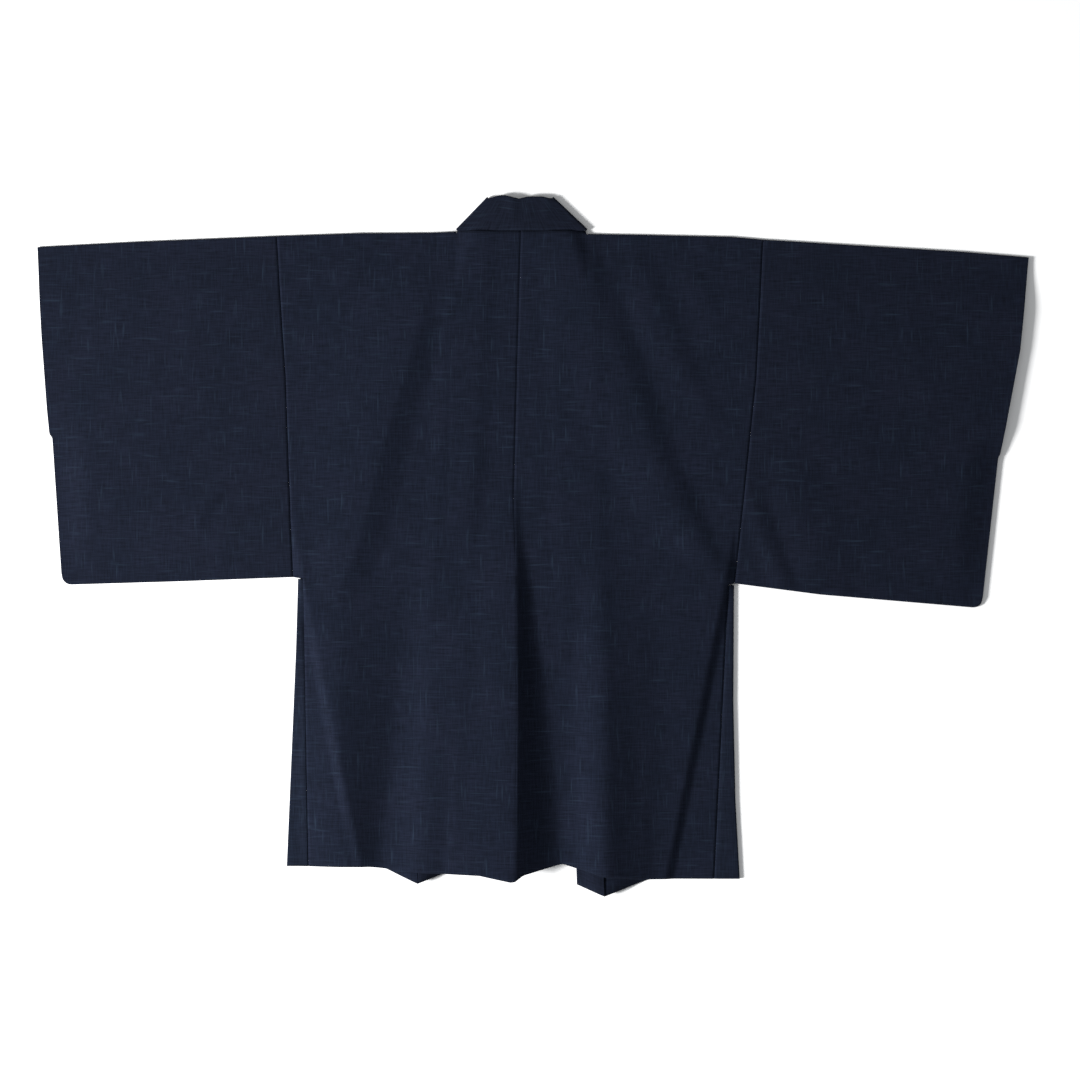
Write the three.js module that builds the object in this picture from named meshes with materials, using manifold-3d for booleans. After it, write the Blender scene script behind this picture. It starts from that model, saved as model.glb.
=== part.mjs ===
// Haori jacket laid flat, back up: a straight-cut jacket of seven pieces, front panels on the surface.
//
// Plan positions are written as { across, drop }: across runs to the right from the centre of the
// back neck, and drop runs down from the neck seam towards the hem. Z is up, from the surface.

import * as THREE from "three";
import Module from "manifold-3d";
import { mergeVertices } from "three/addons/utils/BufferGeometryUtils.js";

const wasm = await Module();
wasm.setup();

// ---------------------------------------------------------------- driving sizes, millimetres

const CLOTH = 1.8;
const BAND = 3.2;
const SEAM_GAP = 0.3;
const REST_GAP = 0.5;
const LOFT = 5.4;
const LOFT_REACH = 90;
const CORNER_RADIUS = 14;
const NECK_SEAM = -1;
const NAPE_FOLD = 5.6;
const NAPE_RISE_AT_SEAM = 3.2;
const NAPE_RISE_AT_EDGE = 1.6;
const JOG = 2;
const FOLD_STEPS = 4;
const BAND_SHOULDER = 26;

// How many cells each stretch is divided into.
const ARMHOLE_UPPER_ROWS = 4;
const ARMHOLE_LOWER_ROWS = 6;
const SKIRT_ROWS = 8;
const SHOULDER_COLUMNS = 15;
const NECK_COLUMNS = 6;
const SLEEVE_COLUMNS = 8;
const BAND_COLUMNS = 3;
const LEG_SECTIONS = 12;
const NAPE_SECTIONS = 12;

// ---------------------------------------------------------------- outlines, as the jacket lies

const CENTRE_SEAM = [
  { drop: NECK_SEAM, across: 0 },
  { drop: 205, across: -5.7 },
  { drop: 372, across: -10 },
  { drop: 484, across: -7 },
  { drop: 669, across: -5.7 },
  { drop: 914, across: -8 },
];

const SIDES = {
  left: {
    sign: -1,
    shoulder: [
      { across: -683, drop: 21.5 },
      { across: -539, drop: 14 },
      { across: -345, drop: 6 },
      { across: -228, drop: 2 },
      { across: -129, drop: 1.4 },
      { across: -92, drop: 0 },
    ],
    cuff: [
      { drop: 21.5, across: -683 },
      { drop: 150, across: -676 },
      { drop: 284, across: -666 },
      { drop: 290, across: -662 },
      { drop: 485, across: -649 },
    ],
    sleeveBottom: [
      { across: -649, drop: 499 },
      { across: -482, drop: 494 },
      { across: -322, drop: 488 },
    ],
    armhole: [
      { drop: 6, across: -345 },
      { drop: 205, across: -332 },
      { drop: 488, across: -322 },
    ],
    side: [
      { drop: 488, across: -315 },
      { drop: 591, across: -318 },
      { drop: 732, across: -324 },
      { drop: 896, across: -331 },
    ],
    gussetSeam: [
      { drop: 488 + JOG, across: -308 },
      { drop: 896, across: -300 },
    ],
    backHem: [
      { across: -331, drop: 896 },
      { across: -214, drop: 896 },
      { across: -148, drop: 903 },
      { across: -58, drop: 906 },
      { across: -14, drop: 915 },
      { across: -8, drop: 914 },
    ],
    frontHem: [
      { across: -331, drop: 896 },
      { across: -194, drop: 898 },
      { across: -146, drop: 920 },
    ],
    bandSeam: { neck: [-92, 0], hem: [-146, 920] },
    bandEdge: { neck: [-48, -49], hem: [-106, 905] },
  },
  right: {
    sign: 1,
    shoulder: [
      { across: 94, drop: 3 },
      { across: 169, drop: 4.2 },
      { across: 296, drop: 7 },
      { across: 342, drop: 11 },
      { across: 479, drop: 19.5 },
      { across: 621, drop: 28 },
      { across: 717, drop: 36 },
    ],
    cuff: [
      { drop: 36, across: 717 },
      { drop: 168, across: 704 },
      { drop: 312, across: 677 },
      { drop: 318, across: 674 },
      { drop: 518, across: 652 },
    ],
    sleeveBottom: [
      { across: 302, drop: 497 },
      { across: 423, drop: 513 },
      { across: 652, drop: 533 },
    ],
    armhole: [
      { drop: 11, across: 342 },
      { drop: 205, across: 332 },
      { drop: 497, across: 302 },
    ],
    side: [
      { drop: 497, across: 301 },
      { drop: 662, across: 300 },
      { drop: 803, across: 303 },
      { drop: 914, across: 309 },
    ],
    gussetSeam: [
      { drop: 497 + JOG, across: 293 },
      { drop: 914, across: 273 },
    ],
    backHem: [
      { across: -8, drop: 914 },
      { across: 3, drop: 906 },
      { across: 58, drop: 892 },
      { across: 79, drop: 898 },
      { across: 119, drop: 909 },
      { across: 168, drop: 913.5 },
      { across: 309, drop: 914 },
    ],
    frontHem: [
      { across: 118, drop: 938 },
      { across: 157, drop: 923 },
      { across: 190, drop: 911 },
      { across: 309, drop: 914 },
    ],
    bandSeam: { neck: [94, 3], hem: [118, 938] },
    bandEdge: { neck: [46, -49], hem: [79, 922] },
  },
};

// The free top edge of the collar behind the neck.
const NAPE_EDGE = [
  { across: -48, drop: -49 },
  { across: -24, drop: -51 },
  { across: -3, drop: -46 },
  { across: 10, drop: -49 },
  { across: 46, drop: -49 },
];

// ---------------------------------------------------------------- folds
// Each fold runs down the cloth: a row gives where its crest is at that drop, how far it stands up,
// and how far its two flanks reach.

const UPPER_FOLDS = {
  leftShoulderDrag: [
    { drop: 10, across: -100, rise: 0, left: 60, right: 14 },
    { drop: 60, across: -122, rise: 1.6, left: 90, right: 30 },
    { drop: 117, across: -141, rise: 3.4, left: 120, right: 40 },
    { drop: 209, across: -165, rise: 5.4, left: 130, right: 50 },
    { drop: 287, across: -189, rise: 6.2, left: 120, right: 52 },
    { drop: 386, across: -214, rise: 6.0, left: 100, right: 52 },
    { drop: 474, across: -240, rise: 4.6, left: 60, right: 44 },
    { drop: 530, across: -262, rise: 0, left: 40, right: 36 },
  ],
  leftSkirtRidge: [
    { drop: 470, across: -252, rise: 0, left: 40, right: 50 },
    { drop: 560, across: -253, rise: 5, left: 60, right: 92 },
    { drop: 640, across: -254, rise: 9, left: 66, right: 92 },
    { drop: 740, across: -253, rise: 13, left: 72, right: 84 },
    { drop: 830, across: -248, rise: 13, left: 74, right: 62 },
    { drop: 910, across: -241, rise: 11, left: 74, right: 44 },
  ],
  leftInnerPleat: [
    { drop: 470, across: -100, rise: 0, left: 60, right: 24 },
    { drop: 560, across: -97, rise: 1.8, left: 80, right: 38 },
    { drop: 700, across: -93, rise: 3.2, left: 90, right: 44 },
    { drop: 915, across: -88, rise: 1.6, left: 80, right: 50 },
  ],
  centreRidge: [
    { drop: 340, across: -10, rise: 0, left: 60, right: 8 },
    { drop: 440, across: -9, rise: 5, left: 90, right: 17 },
    { drop: 484, across: -7, rise: 8, left: 110, right: 23 },
    { drop: 560, across: -6, rise: 13, left: 130, right: 33 },
    { drop: 669, across: -5, rise: 18, left: 150, right: 47 },
    { drop: 800, across: -6, rise: 22, left: 165, right: 62 },
    { drop: 925, across: -8, rise: 25, left: 170, right: 74 },
  ],
  rightSkirtRidge: [
    { drop: 430, across: 120, rise: 0, left: 30, right: 50 },
    { drop: 520, across: 122, rise: 3.4, left: 48, right: 70 },
    { drop: 620, across: 122, rise: 7, left: 56, right: 84 },
    { drop: 760, across: 122, rise: 9.5, left: 60, right: 92 },
    { drop: 960, across: 120, rise: 9.5, left: 62, right: 92 },
  ],
  rightLongDrag: [
    { drop: 0, across: 76, rise: 0, left: 40, right: 20 },
    { drop: 60, across: 97, rise: 2, left: 70, right: 32 },
    { drop: 117, across: 116, rise: 3.4, left: 90, right: 38 },
    { drop: 223, across: 153, rise: 4.6, left: 100, right: 40 },
    { drop: 308, across: 184, rise: 4.8, left: 90, right: 40 },
    { drop: 400, across: 228, rise: 4.6, left: 70, right: 38 },
    { drop: 453, across: 256, rise: 3.6, left: 50, right: 34 },
    { drop: 500, across: 288, rise: 0, left: 30, right: 26 },
  ],
  rightShortDrag: [
    { drop: 4, across: 158, rise: 0, left: 26, right: 18 },
    { drop: 60, across: 174, rise: 1.6, left: 40, right: 28 },
    { drop: 146, across: 206, rise: 2.6, left: 50, right: 34 },
    { drop: 223, across: 242, rise: 2, left: 46, right: 32 },
    { drop: 290, across: 282, rise: 0, left: 30, right: 24 },
  ],
};

// The cloth on the surface rises to a ridge along each collar seam near the hem.
const LOWER_FOLDS = {
  leftBandRidge: [
    { drop: 380, across: -114, rise: 0, left: 40, right: 42 },
    { drop: 650, across: -130, rise: 3, left: 50, right: 42 },
    { drop: 920, across: -146, rise: 9, left: 60, right: 42 },
  ],
  rightBandRidge: [
    { drop: 380, across: 104, rise: 0, left: 42, right: 40 },
    { drop: 650, across: 111, rise: 3, left: 42, right: 50 },
    { drop: 940, across: 118, rise: 9, left: 42, right: 60 },
  ],
};

// ---------------------------------------------------------------- small helpers

function mix(from, to, share) {
  return from + (to - from) * share;
}

function smooth(share) {
  const held = THREE.MathUtils.clamp(share, 0, 1);
  return held * held * (3 - 2 * held);
}

// The value of one column of a table where another column has the given value.
function lookUp(rows, column, place, wanted) {
  const last = rows.length - 1;
  if (place <= rows[0][column]) {
    return rows[0][wanted];
  }
  for (let row = 1; row <= last; row += 1) {
    if (place <= rows[row][column]) {
      const start = rows[row - 1];
      const end = rows[row];
      const share = (place - start[column]) / (end[column] - start[column]);
      return mix(start[wanted], end[wanted], share);
    }
  }
  return rows[last][wanted];
}

function alongLine(line, share) {
  return [mix(line.neck[0], line.hem[0], share), mix(line.neck[1], line.hem[1], share)];
}

function acrossAt(line, drop) {
  const share = (drop - line.neck[1]) / (line.hem[1] - line.neck[1]);
  return mix(line.neck[0], line.hem[0], share);
}

// ---------------------------------------------------------------- heights of the cloth

function foldRise(folds, across, drop) {
  let rise = 0;
  for (const rows of Object.values(folds)) {
    if (drop > rows[0].drop) {
      const crest = lookUp(rows, "drop", drop, "across");
      const reach = lookUp(rows, "drop", drop, across < crest ? "left" : "right");
      const away = Math.min(Math.abs(across - crest) / reach, 1);
      rise += lookUp(rows, "drop", drop, "rise") * (1 - away * away) ** 2;
    }
  }
  return rise;
}

// 1 over the collar band on the surface, and falling to 0 beside it.
function bandCover(across, drop) {
  const side = across < acrossAt(CENTRE_LINE, drop) ? SIDES.left : SIDES.right;
  const seam = acrossAt(side.bandSeam, drop) * side.sign;
  const edge = acrossAt(side.bandEdge, drop) * side.sign;
  const outside = Math.max(across * side.sign - seam, edge - across * side.sign, 0);
  return smooth(1 - outside / BAND_SHOULDER);
}

// How much the two layers stand apart: nothing at sewn or folded edges, and the full loft inside.
function loft(across, drop) {
  const side = across < 0 ? SIDES.left : SIDES.right;
  const out = across * side.sign;
  const underarm = side.armhole.at(-1);
  const inside = Math.max(underarm.across * side.sign - out, 0);
  const sleeveBottom = lookUp(side.sleeveBottom, "across", across, "drop");
  const bottom = inside > 0 ? underarm.drop + 5 * inside : sleeveBottom;
  const neck = side.bandSeam.neck[0] * side.sign;
  const top = lookUp(side.shoulder, "across", across, "drop") - 3 * Math.max(neck - out, 0);
  const cuff = lookUp(side.cuff, "drop", drop, "across") * side.sign;
  const notch = side.cuff[2].drop;
  const sewnCuff = smooth((drop - notch + 40) / 60);
  const fromCuff = mix(1, smooth((cuff - out) / 50), sewnCuff);
  return LOFT * smooth((drop - top) / LOFT_REACH) * smooth((bottom - drop) / LOFT_REACH) * fromCuff;
}

const CENTRE_LINE = { neck: [0, NECK_SEAM], hem: [-8, 914] };

function lowerMiddle(across, drop) {
  return CLOTH / 2 + foldRise(LOWER_FOLDS, across, drop);
}

function bandMiddle(across, drop) {
  return BAND / 2 + foldRise(LOWER_FOLDS, across, drop);
}

function upperMiddle(across, drop) {
  const under = CLOTH + foldRise(LOWER_FOLDS, across, drop) + (BAND - CLOTH) * bandCover(across, drop);
  return under + REST_GAP + CLOTH / 2 + loft(across, drop) + foldRise(UPPER_FOLDS, across, drop);
}

// ---------------------------------------------------------------- cloth solids

// A point of a cloth's middle surface, with the way its outer face looks.
function clothPoint(across, drop, height, outward) {
  return { place: new THREE.Vector3(across, -drop, height), outward };
}

const UP = new THREE.Vector3(0, 0, 1);
const DOWN = new THREE.Vector3(0, 0, -1);

// Half a turn from the lower layer to the upper one around a folded edge. The way out is a plan
// direction, and the first and last points of the turn belong to the two layers.
function foldTurn(across, drop, low, high, wayOut) {
  const radius = (high - low) / 2;
  const points = [];
  for (let step = 1; step < FOLD_STEPS; step += 1) {
    const angle = Math.PI * (step / FOLD_STEPS - 0.5);
    const outward = new THREE.Vector3(wayOut[0], -wayOut[1], 0);
    outward.multiplyScalar(Math.cos(angle)).addScaledVector(UP, Math.sin(angle));
    const centre = new THREE.Vector3(across, -drop, (low + high) / 2);
    points.push({ place: centre.addScaledVector(outward, radius), outward });
  }
  return points;
}

// How far inside an outline the turn's centre lies, so that the folded edge meets the outline.
function foldInset(low, high, thickness) {
  return (high - low) / 2 + thickness / 2;
}

// A closed wall of the given thickness on a sheet of four-sided cells.
function thicken(points, cells, thickness) {
  const count = points.length;
  const positions = [];
  for (const face of [0.5, -0.5]) {
    for (const point of points) {
      const corner = point.place.clone().addScaledVector(point.outward, face * thickness);
      positions.push(corner.x, corner.y, corner.z);
    }
  }
  const triangles = [];
  const open = new Map();
  for (const [a, b, c, d] of cells) {
    triangles.push(a, b, c, a, c, d);
    triangles.push(a + count, c + count, b + count, a + count, d + count, c + count);
    for (const [start, end] of [[a, b], [b, c], [c, d], [d, a]]) {
      if (open.has(`${end}-${start}`)) {
        open.delete(`${end}-${start}`);
      } else {
        open.set(`${start}-${end}`, [start, end]);
      }
    }
  }
  for (const [start, end] of open.values()) {
    triangles.push(end, start, start + count, end, start + count, end + count);
  }
  return closedGeometry(positions, triangles);
}

function signedVolume(positions, triangles) {
  const corner = (index) => new THREE.Vector3().fromArray(positions, index * 3);
  let total = 0;
  for (let start = 0; start < triangles.length; start += 3) {
    const [a, b, c] = triangles.slice(start, start + 3).map(corner);
    total += a.dot(b.cross(c)) / 6;
  }
  return total;
}

// The geometry with its faces looking out, whichever way the sheet was laid out.
function closedGeometry(positions, triangles) {
  if (signedVolume(positions, triangles) < 0) {
    triangles.reverse();
  }
  const geometry = new THREE.BufferGeometry();
  geometry.setAttribute("position", new THREE.Float32BufferAttribute(positions, 3));
  geometry.setIndex(triangles);
  return geometry;
}

function toManifold(geometry) {
  const merged = mergeVertices(geometry, 1e-4);
  const vertProperties = new Float32Array(merged.attributes.position.array);
  const triVerts = new Uint32Array(merged.index.array);
  return new wasm.Manifold(new wasm.Mesh({ numProp: 3, vertProperties, triVerts }));
}

function joined(first, second) {
  const mesh = toManifold(first).add(toManifold(second)).getMesh();
  const geometry = new THREE.BufferGeometry();
  geometry.setAttribute("position", new THREE.Float32BufferAttribute(mesh.vertProperties, 3));
  geometry.setIndex(Array.from(mesh.triVerts));
  return geometry;
}

// ---------------------------------------------------------------- panels between four edges

// A point of the panel spanned by its four edges, u from first to last column and v from top to bottom.
function spanned(edges, u, v) {
  const [top, bottom, start, end] = [edges.top(u), edges.bottom(u), edges.start(v), edges.end(v)];
  const corners = [edges.top(0), edges.top(1), edges.bottom(0), edges.bottom(1)];
  return [0, 1].map((axis) => {
    const ruled = mix(top[axis], bottom[axis], v) + mix(start[axis], end[axis], u);
    const upper = mix(corners[0][axis], corners[1][axis], u);
    const lower = mix(corners[2][axis], corners[3][axis], u);
    return ruled - mix(upper, lower, v);
  });
}

function edgeByDrop(rows, from, to, shift) {
  return (share) => {
    const drop = mix(from, to, share);
    return [lookUp(rows, "drop", drop, "across") + shift, drop];
  };
}

function edgeByAcross(rows, from, to) {
  return (share) => {
    const across = mix(from, to, share);
    return [across, lookUp(rows, "across", across, "drop")];
  };
}

// The drops of the rows of a body length down its outer edge: the armhole, the jog and the skirt.
function bodyDrops(side) {
  const [top, knee, underarm] = side.armhole.map((row) => row.drop);
  const hem = side.gussetSeam[1].drop;
  const drops = [];
  for (let row = 0; row < ARMHOLE_UPPER_ROWS; row += 1) {
    drops.push(mix(top, knee, row / ARMHOLE_UPPER_ROWS));
  }
  for (let row = 0; row <= ARMHOLE_LOWER_ROWS; row += 1) {
    drops.push(mix(knee, underarm, row / ARMHOLE_LOWER_ROWS));
  }
  for (let row = 0; row <= SKIRT_ROWS; row += 1) {
    drops.push(mix(underarm + JOG, hem, row / SKIRT_ROWS));
  }
  return drops;
}

function gridCells(columns, rows, indexOf) {
  const cells = [];
  for (let row = 0; row < rows; row += 1) {
    for (let column = 0; column < columns; column += 1) {
      const corners = [[column, row], [column + 1, row], [column + 1, row + 1], [column, row + 1]];
      cells.push(corners.map(([x, y]) => indexOf(x, y)));
    }
  }
  return cells;
}

// ---------------------------------------------------------------- the pieces

// One body length: the front on the surface, the fold at the shoulder, and the back over it.
function bodyLength(side) {
  const inward = -side.sign * SEAM_GAP / 2;
  const outerEdge = side.armhole.concat(side.gussetSeam);
  const drops = bodyDrops(side);
  const [top, hem] = [drops[0], drops.at(-1)];
  const shares = drops.map((drop) => (drop - top) / (hem - top));
  const armholeTop = side.armhole[0].across + inward;
  const neck = side.bandSeam.neck[0];
  const centreHem = CENTRE_SEAM.at(-1);
  const columns = SHOULDER_COLUMNS + NECK_COLUMNS;
  const neckShare = SHOULDER_COLUMNS / columns;

  const backTop = (u) => {
    if (u <= neckShare) {
      const across = mix(armholeTop, neck, u / neckShare);
      return [across, lookUp(side.shoulder, "across", across, "drop")];
    }
    const across = mix(neck, -inward * -1, (u - neckShare) / (1 - neckShare));
    return [across, NECK_SEAM + SEAM_GAP / 2];
  };
  const back = {
    top: backTop,
    bottom: edgeByAcross(side.backHem, side.gussetSeam[1].across + inward, centreHem.across - inward),
    start: edgeByDrop(outerEdge, top, hem, inward),
    end: edgeByDrop(CENTRE_SEAM, NECK_SEAM + SEAM_GAP / 2, centreHem.drop, -inward),
  };
  const seam = side.bandSeam;
  const front = {
    top: edgeByAcross(side.shoulder, armholeTop, neck - inward),
    bottom: edgeByAcross(side.frontHem, side.gussetSeam[1].across + inward, seam.hem[0] - inward),
    start: back.start,
    end: (v) => alongLine(seam, v).map((value, axis) => (axis === 0 ? value - inward : value)),
  };

  const points = [];
  const strips = [];
  const frontRows = shares.filter((share, row) => row % 2 === 0 && row <= 10 || row > 10 && row % 2 === 1);
  const addStrip = (count, makePoint) => {
    strips.push(Array.from({ length: count + 1 }, (unused, column) => points.push(makePoint(column)) - 1));
  };

  const turns = Array.from({ length: SHOULDER_COLUMNS + 1 }, (unused, column) => {
    const outline = spanned(front, column / SHOULDER_COLUMNS, 0);
    const low = lowerMiddle(...outline);
    const high = upperMiddle(...outline);
    const inset = foldInset(low, high, CLOTH);
    return { low, high, across: outline[0], drop: outline[1] + inset };
  });

  for (const share of [...frontRows].reverse().slice(0, -1)) {
    addStrip(SHOULDER_COLUMNS, (column) => {
      const [across, drop] = spanned(front, column / SHOULDER_COLUMNS, share);
      return clothPoint(across, drop, lowerMiddle(across, drop), DOWN);
    });
  }
  addStrip(SHOULDER_COLUMNS, (column) => {
    const turn = turns[column];
    return clothPoint(turn.across, turn.drop, turn.low, DOWN);
  });
  for (let step = 0; step < FOLD_STEPS - 1; step += 1) {
    addStrip(SHOULDER_COLUMNS, (column) => {
      const turn = turns[column];
      return foldTurn(turn.across, turn.drop, turn.low, turn.high, [0, -1])[step];
    });
  }
  const foldStrips = strips.length;
  addStrip(columns, (column) => {
    if (column <= SHOULDER_COLUMNS) {
      const turn = turns[column];
      return clothPoint(turn.across, turn.drop, turn.high, UP);
    }
    const [across, drop] = spanned(back, column / columns, 0);
    return clothPoint(across, drop, upperMiddle(across, drop), UP);
  });
  for (const share of shares.slice(1)) {
    addStrip(columns, (column) => {
      const [across, drop] = spanned(back, column / columns, share);
      return clothPoint(across, drop, upperMiddle(across, drop), UP);
    });
  }

  const narrow = gridCells(SHOULDER_COLUMNS, foldStrips, (column, row) => strips[row][column]);
  const wideStrips = strips.slice(foldStrips);
  const wide = gridCells(columns, wideStrips.length - 1, (column, row) => wideStrips[row][column]);
  return thicken(points, narrow.concat(wide), CLOTH);
}

// One sleeve: a flat tube, folded at the top and sewn at the bottom, open at the armhole and the cuff.
function sleeve(side) {
  const outward = side.sign * SEAM_GAP / 2;
  const [top, , underarm] = side.armhole.map((row) => row.drop);
  const drops = bodyDrops(side).slice(0, ARMHOLE_UPPER_ROWS + ARMHOLE_LOWER_ROWS + 1);
  const cuffTop = side.cuff[0].drop;
  const cuffEnd = side.cuff.at(-1).drop;
  const notches = side.cuff.slice(2, 4).map((row) => (row.drop - cuffTop) / (cuffEnd - cuffTop));
  const shares = drops.map((drop) => (drop - top) / (underarm - top));
  const rows = shares.concat(notches).sort((a, b) => a - b);
  const width = Math.abs(side.cuff.at(-1).across - side.armhole[2].across);
  const corner = CORNER_RADIUS / width;
  const columns = [0, corner * 0.15, corner * 0.5];
  for (let column = 0; column <= SLEEVE_COLUMNS; column += 1) {
    columns.push(mix(corner, 1, column / SLEEVE_COLUMNS));
  }

  const cuffCorner = side.cuff.at(-1).across;
  const bottomLine = edgeByAcross(side.sleeveBottom, cuffCorner, side.armhole[2].across + outward);
  const panel = {
    top: edgeByAcross(side.shoulder, side.cuff[0].across, side.armhole[0].across + outward),
    bottom: (u) => {
      const [across, drop] = bottomLine(u);
      const left = Math.max(1 - u / corner, 0);
      return [across, drop - CORNER_RADIUS * (1 - Math.sqrt(1 - left * left))];
    },
    start: edgeByDrop(side.cuff, cuffTop, cuffEnd, 0),
    end: edgeByDrop(side.armhole, top, underarm, outward),
  };
  // The way out of the bottom edge turns with the rounded corner.
  const wayOutBottom = (u) => {
    const left = Math.max(1 - u / corner, 0);
    return [side.sign * left, Math.sqrt(1 - left * left)];
  };

  const rings = columns.map((u) => {
    const height = panel.bottom(u)[1] - panel.top(u)[1];
    const ends = [0, 1].map((v) => {
      const [across, drop] = spanned(panel, u, v);
      return { low: lowerMiddle(across, drop), high: upperMiddle(across, drop) };
    });
    const insets = ends.map((end) => foldInset(end.low, end.high, CLOTH));
    const shareTop = insets[0] / height;
    const placesTop = spanned(panel, u, shareTop);
    const [outAcross, outDrop] = wayOutBottom(u);
    const edge = spanned(panel, u, 1);
    const placesBottom = [edge[0] - outAcross * insets[1], edge[1] - outDrop * insets[1]];
    const middle = rows.slice(1, -1).map((v) => spanned(panel, u, v));
    const layer = [placesTop, ...middle, placesBottom];
    const upper = layer.map(([across, drop], index) => {
      const level = index === 0 ? ends[0].high : upperMiddle(across, drop);
      return clothPoint(across, drop, index === layer.length - 1 ? ends[1].high : level, UP);
    });
    const lower = layer.map(([across, drop]) => clothPoint(across, drop, lowerMiddle(across, drop), DOWN));
    const topTurn = foldTurn(...placesTop, ends[0].low, ends[0].high, [0, -1]);
    const bottomTurn = foldTurn(...placesBottom, ends[1].low, ends[1].high, [outAcross, outDrop]);
    return [...upper, ...bottomTurn.reverse(), ...lower.reverse(), ...topTurn];
  });

  const around = rings[0].length;
  const points = rings.flat();
  const cells = gridCells(rings.length - 1, around, (column, row) => column * around + (row % around));
  return joined(thicken(points, cells, CLOTH), cuffClosure(side, panel, rows));
}

// The stretch of the cuff edge below the notch, where the two layers are sewn together.
function cuffClosure(side, panel, rows) {
  const notch = side.cuff[3].drop;
  const inset = 0.1;
  const places = rows.map((v) => panel.start(v)).filter(([, drop]) => drop >= notch - 0.01);
  const corners = places.map(([across, drop]) => {
    const outer = across - side.sign * inset;
    const inner = outer - side.sign * CLOTH;
    const levels = [lowerMiddle(across, drop), upperMiddle(across, drop)];
    return [[outer, levels[0]], [inner, levels[0]], [inner, levels[1]], [outer, levels[1]]]
      .map(([x, z]) => [x, -drop, z]);
  });
  const positions = corners.flat(2);
  const triangles = [0, 1, 2, 0, 2, 3];
  for (let section = 0; section < corners.length - 1; section += 1) {
    for (let edge = 0; edge < 4; edge += 1) {
      const [a, b] = [section * 4 + edge, section * 4 + ((edge + 1) % 4)];
      triangles.push(b, a, a + 4, b, a + 4, b + 4);
    }
  }
  const last = (corners.length - 1) * 4;
  triangles.push(last + 2, last + 1, last, last + 3, last + 2, last);
  return closedGeometry(positions, triangles);
}

// One side gusset: a narrow wedge folded down its middle, from the back seam round to the front seam.
function gusset(side) {
  const outward = side.sign * SEAM_GAP / 2;
  const [start, hem] = side.gussetSeam.map((row) => row.drop);
  const points = [];
  const sections = SKIRT_ROWS + 1;
  for (let row = 0; row < sections; row += 1) {
    const drop = mix(start + SEAM_GAP, hem, row / SKIRT_ROWS);
    const seam = lookUp(side.gussetSeam, "drop", drop, "across") + outward;
    const edge = lookUp(side.side, "drop", drop, "across");
    const low = lowerMiddle(edge, drop);
    const high = upperMiddle(edge, drop);
    const centre = edge - side.sign * foldInset(low, high, CLOTH);
    const middle = mix(seam, centre, 0.5);
    const upper = [seam, middle].map((across) => clothPoint(across, drop, upperMiddle(across, drop), UP));
    const lower = [middle, seam].map((across) => clothPoint(across, drop, lowerMiddle(across, drop), DOWN));
    const turn = foldTurn(centre, drop, low, high, [side.sign, 0]).reverse();
    const crest = clothPoint(centre, drop, high, UP);
    const foot = clothPoint(centre, drop, low, DOWN);
    points.push(...upper, crest, ...turn, foot, ...lower);
  }
  const around = points.length / sections;
  const cells = gridCells(around - 1, sections - 1, (column, row) => row * around + column);
  return thicken(points, cells, CLOTH);
}

// The slanted fold where the collar turns from the neck to a front: its seam end and its free end.
function slantFold(side) {
  const low = BAND / 2;
  const high = NAPE_FOLD;
  const [seamEnd, freeEnd] = [side.bandSeam.neck, side.bandEdge.neck];
  const run = new THREE.Vector2(freeEnd[0] - seamEnd[0], freeEnd[1] - seamEnd[1]).normalize();
  const wayOut = [run.y, -run.x].map((value) => value * -side.sign);
  const flip = wayOut[1] > 0 ? -1 : 1;
  const out = wayOut.map((value) => value * flip);
  const inset = foldInset(low, high, BAND);
  const free = [freeEnd[0] - out[0] * inset, freeEnd[1] - out[1] * inset];
  const seam = [seamEnd[0] - out[0] * inset, NECK_SEAM - SEAM_GAP / 2];
  return { low, high, out, seam, free };
}

// The height of the collar's middle behind the neck, at a share of the way along it and a share of
// the way from its seam to its free edge.
function napeMiddle(along, share) {
  return NAPE_FOLD + Math.sin(Math.PI * along) * mix(NAPE_RISE_AT_SEAM, NAPE_RISE_AT_EDGE, share);
}

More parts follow.
